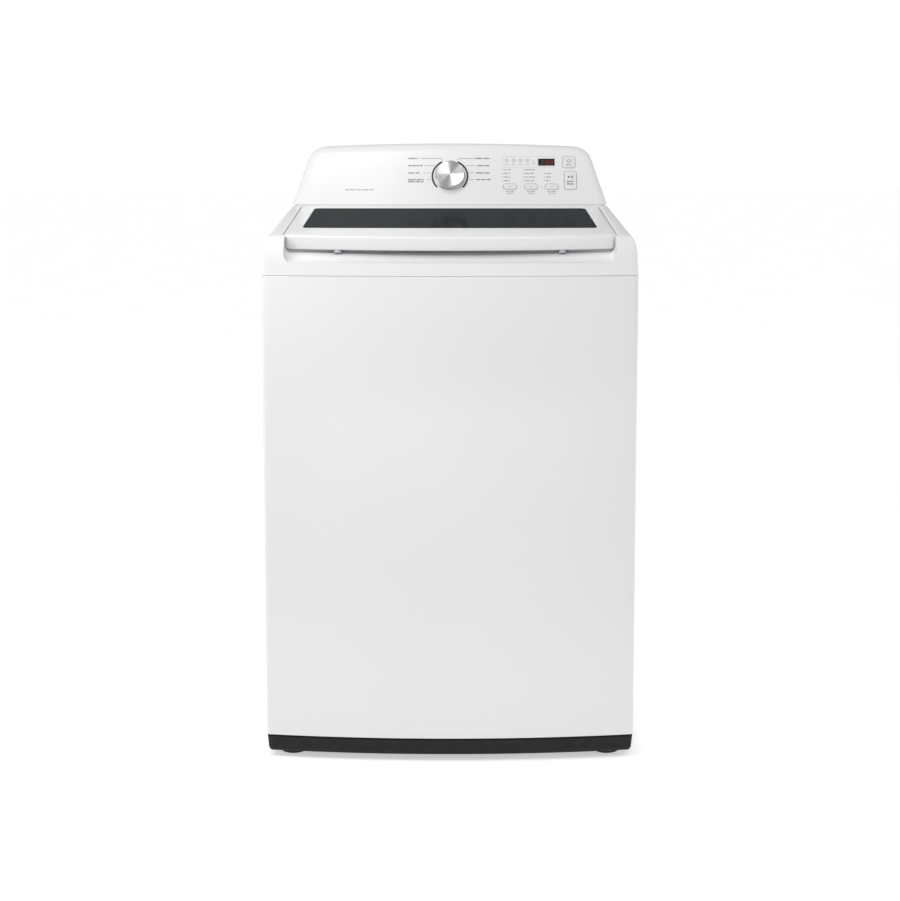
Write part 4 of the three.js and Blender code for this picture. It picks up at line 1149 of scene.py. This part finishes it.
def build_button_print():
    """The symbols on the power and start buttons, which move with them."""
    x, up = face_panel("button_power")[:2]
    power = Print(face_level("button_power"))
    power.line(arc(x, up + 2.5, 3.6, math.radians(125), math.radians(415), 28), 0.9)
    power.bar(x, up + 5.6, 0.9, 3.6)
    power.words(x, up - 6.5, 12, 2.3, 9, "middle")
    power.add("power_symbol", "power_button", "ink_dark", "button_plastic")
    x, up = face_panel("button_start_pause")[:2]
    start = Print(face_level("button_start_pause"))
    start.solid([(x - 5.2, up + 4.4), (x - 5.2, up + 10.4), (x - 0.6, up + 7.4)][::-1])
    for step in (2.0, 4.6):
        start.bar(x + step, up + 7.4, 1.3, 6.0)
    start.words(x, up - 3.0, 15, 2.8, 14, "middle")
    start.words(x, up - 8.6, 15, 2.8, 15, "middle")
    start.add("start_symbol", "start_button", "ink_dark", "button_plastic")
    for node, body in BUTTON_BODIES.items():
        if "option" in node:
            mark = Print(face_level(node))
            mark.words(*face_panel(node)[:2], 8, 1.8, len(node), "middle")
            mark.add(f"{node}_mark", body, "ink_light", "button_plastic")


SEGMENTS = {"top": (0, 4.4, 4.0, 0.9), "middle": (0, 0, 4.0, 0.9), "bottom": (0, -4.4, 4.0, 0.9),
            "upper_left": (-2.5, 2.2, 0.9, 3.6), "upper_right": (2.5, 2.2, 0.9, 3.6),
            "lower_left": (-2.5, -2.2, 0.9, 3.6), "lower_right": (2.5, -2.2, 0.9, 3.6)}
DIGITS = {"8": set(SEGMENTS), "0": set(SEGMENTS) - {"middle"}, "1": {"upper_right", "lower_right"}}


def build_display():
    """Smoked window with a seven-segment figure on its face."""
    low, high = face_span("display_window")
    x, up, width, height = face_panel("display_window")
    plan = rounded(width, height, PANEL_CORNERS["display_window"], 6, x, up)
    pane = raw_object("display_pane", on_face(prism(plan, low[2], high[2])))
    finish_piece(bevel(pane, 0.25, 2), "cabinet", "display", replaces="display_window")
    lit, unlit = Print(high[2]), Print(high[2])
    for place, digit in ((-7.5, "1"), (2.0, "0"), (10.5, "8")):
        for name, (dx, dy, wide, tall) in SEGMENTS.items():
            target = lit if name in DIGITS[digit] else unlit
            target.bar(x + place + dx, up + dy, wide, tall, 0.35)
    for step in (-1.8, 1.8):
        lit.bar(x - 2.9, up + step, 0.9, 0.9)
    lit.add("display_lit_segments", "cabinet", "lit_red", "display")
    unlit.add("display_unlit_segments", "cabinet", "unlit", "display")


# ---------------------------------------------------------------- basket, tub and drive

def build_basket():
    """Perforated stainless wall with plain bands at the top and bottom, between the base and the balance ring."""
    low, high = span("basket_shell")
    radius = high[0]
    bottom, top = low[2], high[2]
    columns, rows, hole = 96, 26, 2.1
    pitch = (top - bottom) / rows
    step = 2 * math.pi / columns
    points, faces = [], []

    def place(angle, z):
        points.append((radius * math.cos(angle), TUB_Y + radius * math.sin(angle), z))
        return len(points) - 1

    grid = [[place(c * step / 2, bottom + r * pitch / 2) for c in range(columns * 2)]
            for r in range(rows * 2 + 1)]
    around = [(0, 0), (1, 0), (2, 0), (2, 1), (2, 2), (1, 2), (0, 2), (0, 1)]
    for r in range(rows):
        for c in range(columns):
            rim = [grid[2 * r + b][(2 * c + a) % (columns * 2)] for a, b in around]
            if (r + c) % 2 or r in (0, rows - 1):
                centre = grid[2 * r + 1][2 * c + 1]
                faces += [(rim[k], rim[k + 1], centre, rim[(k + 7) % 8]) for k in (0, 2, 4, 6)]
                continue
            across, up = (2 * c + 1) * step / 2, bottom + (2 * r + 1) * pitch / 2
            corners = [math.radians(225 + 45 * k) for k in range(8)]
            inner = [place(across + hole * math.cos(a) / radius, up + hole * math.sin(a)) for a in corners]
            faces += [(rim[k], rim[(k + 1) % 8], inner[(k + 1) % 8], inner[k]) for k in range(8)]
    basket = raw_object("basket_wall", (np.array(points), faces))
    thick = basket.modifiers.new("sheet", "SOLIDIFY")
    thick.thickness, thick.offset = 0.9 * MM, -1
    settle(basket)
    finish_piece(basket, "basket", "stainless", replaces="basket_shell", sharp=45)


def build_drum_parts():
    """The turned plastic pieces seen through the laundry opening."""
    low, high = span("balance_ring")
    inner, outer = 226, high[0]
    profile = [(inner + 14, low[2]), (outer, low[2]), (outer, high[2] - 9), (outer - 1.5, high[2] - 4),
               (outer - 5, high[2] - 1), (outer - 9, high[2]), (inner + 11, high[2]),
               (inner + 6, high[2] - 1), (inner + 2, high[2] - 4), (inner, high[2] - 9),
               (inner, low[2] + 17), (inner + 2, low[2] + 11)]
    balance = turned(profile, 160, (0, TUB_Y))
    add("balance_ring_moulding", balance, "basket", "grey_plastic", replaces="balance_ring")
    low, high = span("tub_cover")
    outer = high[0]
    profile = [(232, 862), (238, 866), (262, 874), (outer - 8, 868.6), (outer - 4, 866), (outer - 3, 862),
               (outer - 3, low[2]), (outer, low[2]), (outer, 865), (outer - 1.5, 869), (outer - 5, 871.6),
               (264, 879.7), (258, 879.4), (240, 872.5), (233.5, 869), (232, 866.5)]
    cover = turned(profile, 160, (0, TUB_Y))
    add("tub_cover_moulding", cover, "tub", "tub_plastic", replaces="tub_cover")


def build_impeller():
    """Dished disc with four swept vanes, rows of drain holes and a domed cap."""
    radius = span("impeller")[1][0]
    turns = [2 * math.pi * k / 144 for k in range(144)]

    def height(r, turn):
        vane = max(0.0, math.cos(4 * (turn + 0.5 * r))) ** 6 * 19 * min(1, (1 - r) / 0.12) * min(1, r / 0.25)
        cap = 24 * max(0.0, 1 - (r / 0.19) ** 2) ** 0.7
        return min(278 + 9 * r ** 2 + max(vane, cap), 306)

    def circle(r, level):
        return np.array([(r * radius * math.cos(turn), TUB_Y + r * radius * math.sin(turn), level(turn))
                         for turn in turns])

    sections = [circle(r, lambda turn: 266) for r in (0.12, 0.2, 0.7, 0.99)]
    sections.append(circle(1, lambda turn: 276))
    sections += [circle(r, lambda turn: height(r, turn)) for r in np.linspace(1, 0.001, 40)]
    disc = raw_object("impeller_disc", skinned(sections))
    holes = []
    for reach in (60, 84, 108, 132):
        for k in range(4):
            for aside in (-0.22, 0, 0.22):
                angle = math.pi / 4 + k * math.pi / 2 - 0.5 * reach / radius + aside
                x, y = reach * math.cos(angle), TUB_Y + reach * math.sin(angle)
                holes.append(rod((x, y, 250), (x, y, 320), 2.4, 10))
    carve(disc, merged(*holes))
    finish_piece(disc, "impeller", "grey_plastic", replaces="impeller", sharp=50)


def finish_soft(obj, look, node):
    """Shading and material of a piece that stretches between two bodies; its CAD node is hidden."""
    obj.data.materials.append(M[look])
    obj.data.shade_smooth()
    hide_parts(node)
    return obj


def build_springs():
    """Coil springs under the tub's lugs."""
    wire, turns, steps = 1.7, 7, 20
    for end in ("front", "rear"):
        for side in ("left", "right"):
            node = f"suspension_spring_{end}_{side}"
            low, high = span(node)
            x, y = middle(node)[:2]
            radius = (high[0] - low[0]) / 2 - wire
            path = []
            for k in range(turns * steps + 1):
                share = k / (turns * steps)
                lift = np.interp(share, (0, 1 / turns, 1 - 1 / turns, 1), (0, 0.05, 0.95, 1))
                angle = 2 * math.pi * turns * share
                path.append((x + radius * math.cos(angle), y + radius * math.sin(angle),
                             low[2] + wire + (high[2] - low[2] - 2 * wire) * lift))
            coil = finish_soft(raw_object(f"{node}_coil", swept(path, wire, 8)), "steel", node)
            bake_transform(coil)


def build_bellows():
    """Folded rubber sleeve between the tub's sump and the pump."""
    low, high = span("sump_bellows")
    x, y = middle("sump_bellows")[:2]
    outer, folds, cuff = (high[0] - low[0]) / 2, 6, 8
    fold = (high[2] - low[2] - 2 * cuff) / folds
    outside = [(outer - 3, low[2]), (outer - 3, low[2] + cuff)]
    for k in range(folds):
        start = low[2] + cuff + k * fold
        outside += [(outer - 3.4, start), (outer - 0.6, start + 0.35 * fold), (outer, start + 0.5 * fold),
                    (outer - 0.6, start + 0.65 * fold)]
    outside += [(outer - 3, high[2] - cuff), (outer - 3, high[2])]
    inside = [(radius - 2 if radius > 22 else 20.2, z) for radius, z in reversed(outside)]
    bellows = raw_object("sump_bellows_folds", turned(outside + inside, 64, (x, y)))
    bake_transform(finish_soft(bellows, "rubber", "sump_bellows"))
    for z, body, name in ((low[2] + 4, "cabinet", "lower"), (high[2] - 4, "tub", "upper")):
        strap = [(outer - 2.9, z - 2.6), (outer - 2.1, z - 2.6), (outer - 2.1, z + 2.6),
                 (outer - 2.9, z + 2.6)]
        lug = block((x + outer - 2.6, y - 3, z - 2.6), (x + outer + 5, y + 3, z + 2.6))
        add(f"bellows_clip_{name}", merged(turned(strap, 64, (x, y)), lug), body, "steel")


def build_inlet_threads():
    """Thread ridges and filter screens of the water inlets."""
    mouth = span("inlet_valve")[1][1]
    ridge = turned([(11.9, -0.8), (12.9, -0.15), (12.9, 0.15), (11.9, 0.8)], 48)
    for word, x in INLETS.items():
        ridges = [on_inlet(ridge, x, mouth - 3.5 - k * 2.2) for k in range(9)]
        add(f"inlet_thread_{word}", merged(*ridges), "cabinet", "white_plastic", sharp=20)
        wires = []
        for step in np.linspace(-6.5, 6.5, 7):
            reach = math.sqrt(8.8 ** 2 - step ** 2)
            ends = ((x + step, 356, INLET_HEIGHT - reach), (x + step, 356, INLET_HEIGHT + reach))
            wires.append(rod(*ends, 0.35, 6))
            ends = ((x - reach, 356.4, INLET_HEIGHT + step), (x + reach, 356.4, INLET_HEIGHT + step))
            wires.append(rod(*ends, 0.35, 6))
        add(f"inlet_screen_{word}", merged(*wires), "cabinet", "steel")


def build_board_parts():
    """Components on the control board, behind the face."""
    low, high = face_span("control_board")
    draw = np.random.default_rng(5)
    chips, cans = [], []
    for k in range(14):
        x = low[0] + 18 + (high[0] - low[0] - 36) * k / 13
        up = low[1] + 8 + float(draw.uniform(0, 6))
        chips.append(prism(rounded(9, 6, 0.5, 2, x, up), low[2] - 2.2, low[2] - 0.05))
        cans.append(prism(arc(x + 8, up + 2, 2.6, 0, 2 * math.pi, 20)[:-1], low[2] - 8, low[2] - 0.05))
    add("board_chips", on_face(merged(*chips)), "cabinet", "black_plastic")
    add("board_capacitors", on_face(merged(*cans)), "cabinet", "steel")


def dress_cad_nodes():
    """A procedural material for every CAD node that stays in view."""
    for row in frame["record"]["subparts"]:
        node = frame["nodes"][row["node"]]
        if node.hide_render:
            continue
        node.data.materials.clear()
        node.data.materials.append(M[row["material_slot"]])


# ---------------------------------------------------------------- studio

def area_light(name, place, target, size, power):
    data = bpy.data.lights.new(name, "AREA")
    data.shape, data.size, data.size_y = "RECTANGLE", *size
    data.energy = power
    light = bpy.data.objects.new(name, data)
    light.location = place
    light.rotation_euler = (Vector(target) - Vector(place)).to_track_quat("-Z", "Y").to_euler()
    bpy.context.scene.collection.objects.link(light)


# Name, place, what it points at, size in metres and watts.
LIGHTS = [
    ("key", (-0.9, -0.8, 1.62), (-0.28, -0.37, 0.88), (0.6, 0.6), 5.8),
    ("console", (0.35, -1.3, 2.0), (0.1, -0.1, 1.0), (0.5, 0.5), 4),
    ("overhead", (-0.32, -0.3, 2.15), (0, 0.2, 1.07), (0.5, 0.5), 4.6),
    ("low_front", (0, -2.2, 0.35), (0, -0.35, 0.93), (1.6, 0.4), 1.1),
    ("side_left", (-1.9, 0.1, 0.75), (-0.343, 0, 0.6), (0.6, 1.6), 3.5),
    ("side_right", (1.9, 0.1, 0.75), (0.343, 0, 0.6), (0.6, 1.6), 3.5),
]
SKY_LIGHT = 0.535
MIRRORED_SKY = 0.48
SEEN_SKY = 1.02


def build_studio():
    """White surround, dimmer where it is mirrored so that glass and metal keep their contrast."""
    world = bpy.data.worlds.new("studio")
    world.use_nodes = True
    tree = world.node_tree
    background = tree.nodes["Background"]
    background.inputs["Color"].default_value = (1, 1, 1, 1)
    path = tree.nodes.new("ShaderNodeLightPath")
    mirrored, seen = (tree.nodes.new("ShaderNodeMapRange") for _ in range(2))
    for node, ray, level in ((mirrored, "Is Glossy Ray", MIRRORED_SKY), (seen, "Is Camera Ray", SEEN_SKY)):
        tree.links.new(path.outputs[ray], node.inputs["Value"])
        node.inputs["To Max"].default_value = level
    mirrored.inputs["To Min"].default_value = SKY_LIGHT
    tree.links.new(mirrored.outputs["Result"], seen.inputs["To Min"])
    tree.links.new(seen.outputs["Result"], background.inputs["Strength"])
    bpy.context.scene.world = world
    bpy.context.scene.view_settings.view_transform = "Standard"

    floor_finish = Nodes("pale_floor")
    floor_finish.set(Base_Color=floor_finish.ramp(floor_finish.noise(3, 3), (0.3, (0.92, 0.92, 0.92)),
                                                  (0.7, (0.94, 0.94, 0.94))),
                     Roughness=0.9, Emission_Color=(1, 1, 1, 1), Emission_Strength=0.5)
    points, faces = prism(arc(0, 0, 30000, 0, 2 * math.pi, 96)[:-1], -20, 0)
    floor = raw_object("floor", (points, faces))
    floor.data.materials.append(floor_finish.material)
    for name, place, target, size, power in LIGHTS:
        area_light(name, place, target, size, power)


add_camera()
build_studio()
build_wrap()
build_base()
build_legs()
build_rear_panel()
build_cover()
build_cover_details()
build_lid()
build_console()
build_knob()
build_buttons()
build_scale()
build_indicator_print()
build_button_print()
build_display()
build_basket()
build_drum_parts()
build_impeller()
build_springs()
build_bellows()
build_inlet_threads()
build_board_parts()
dress_cad_nodes()
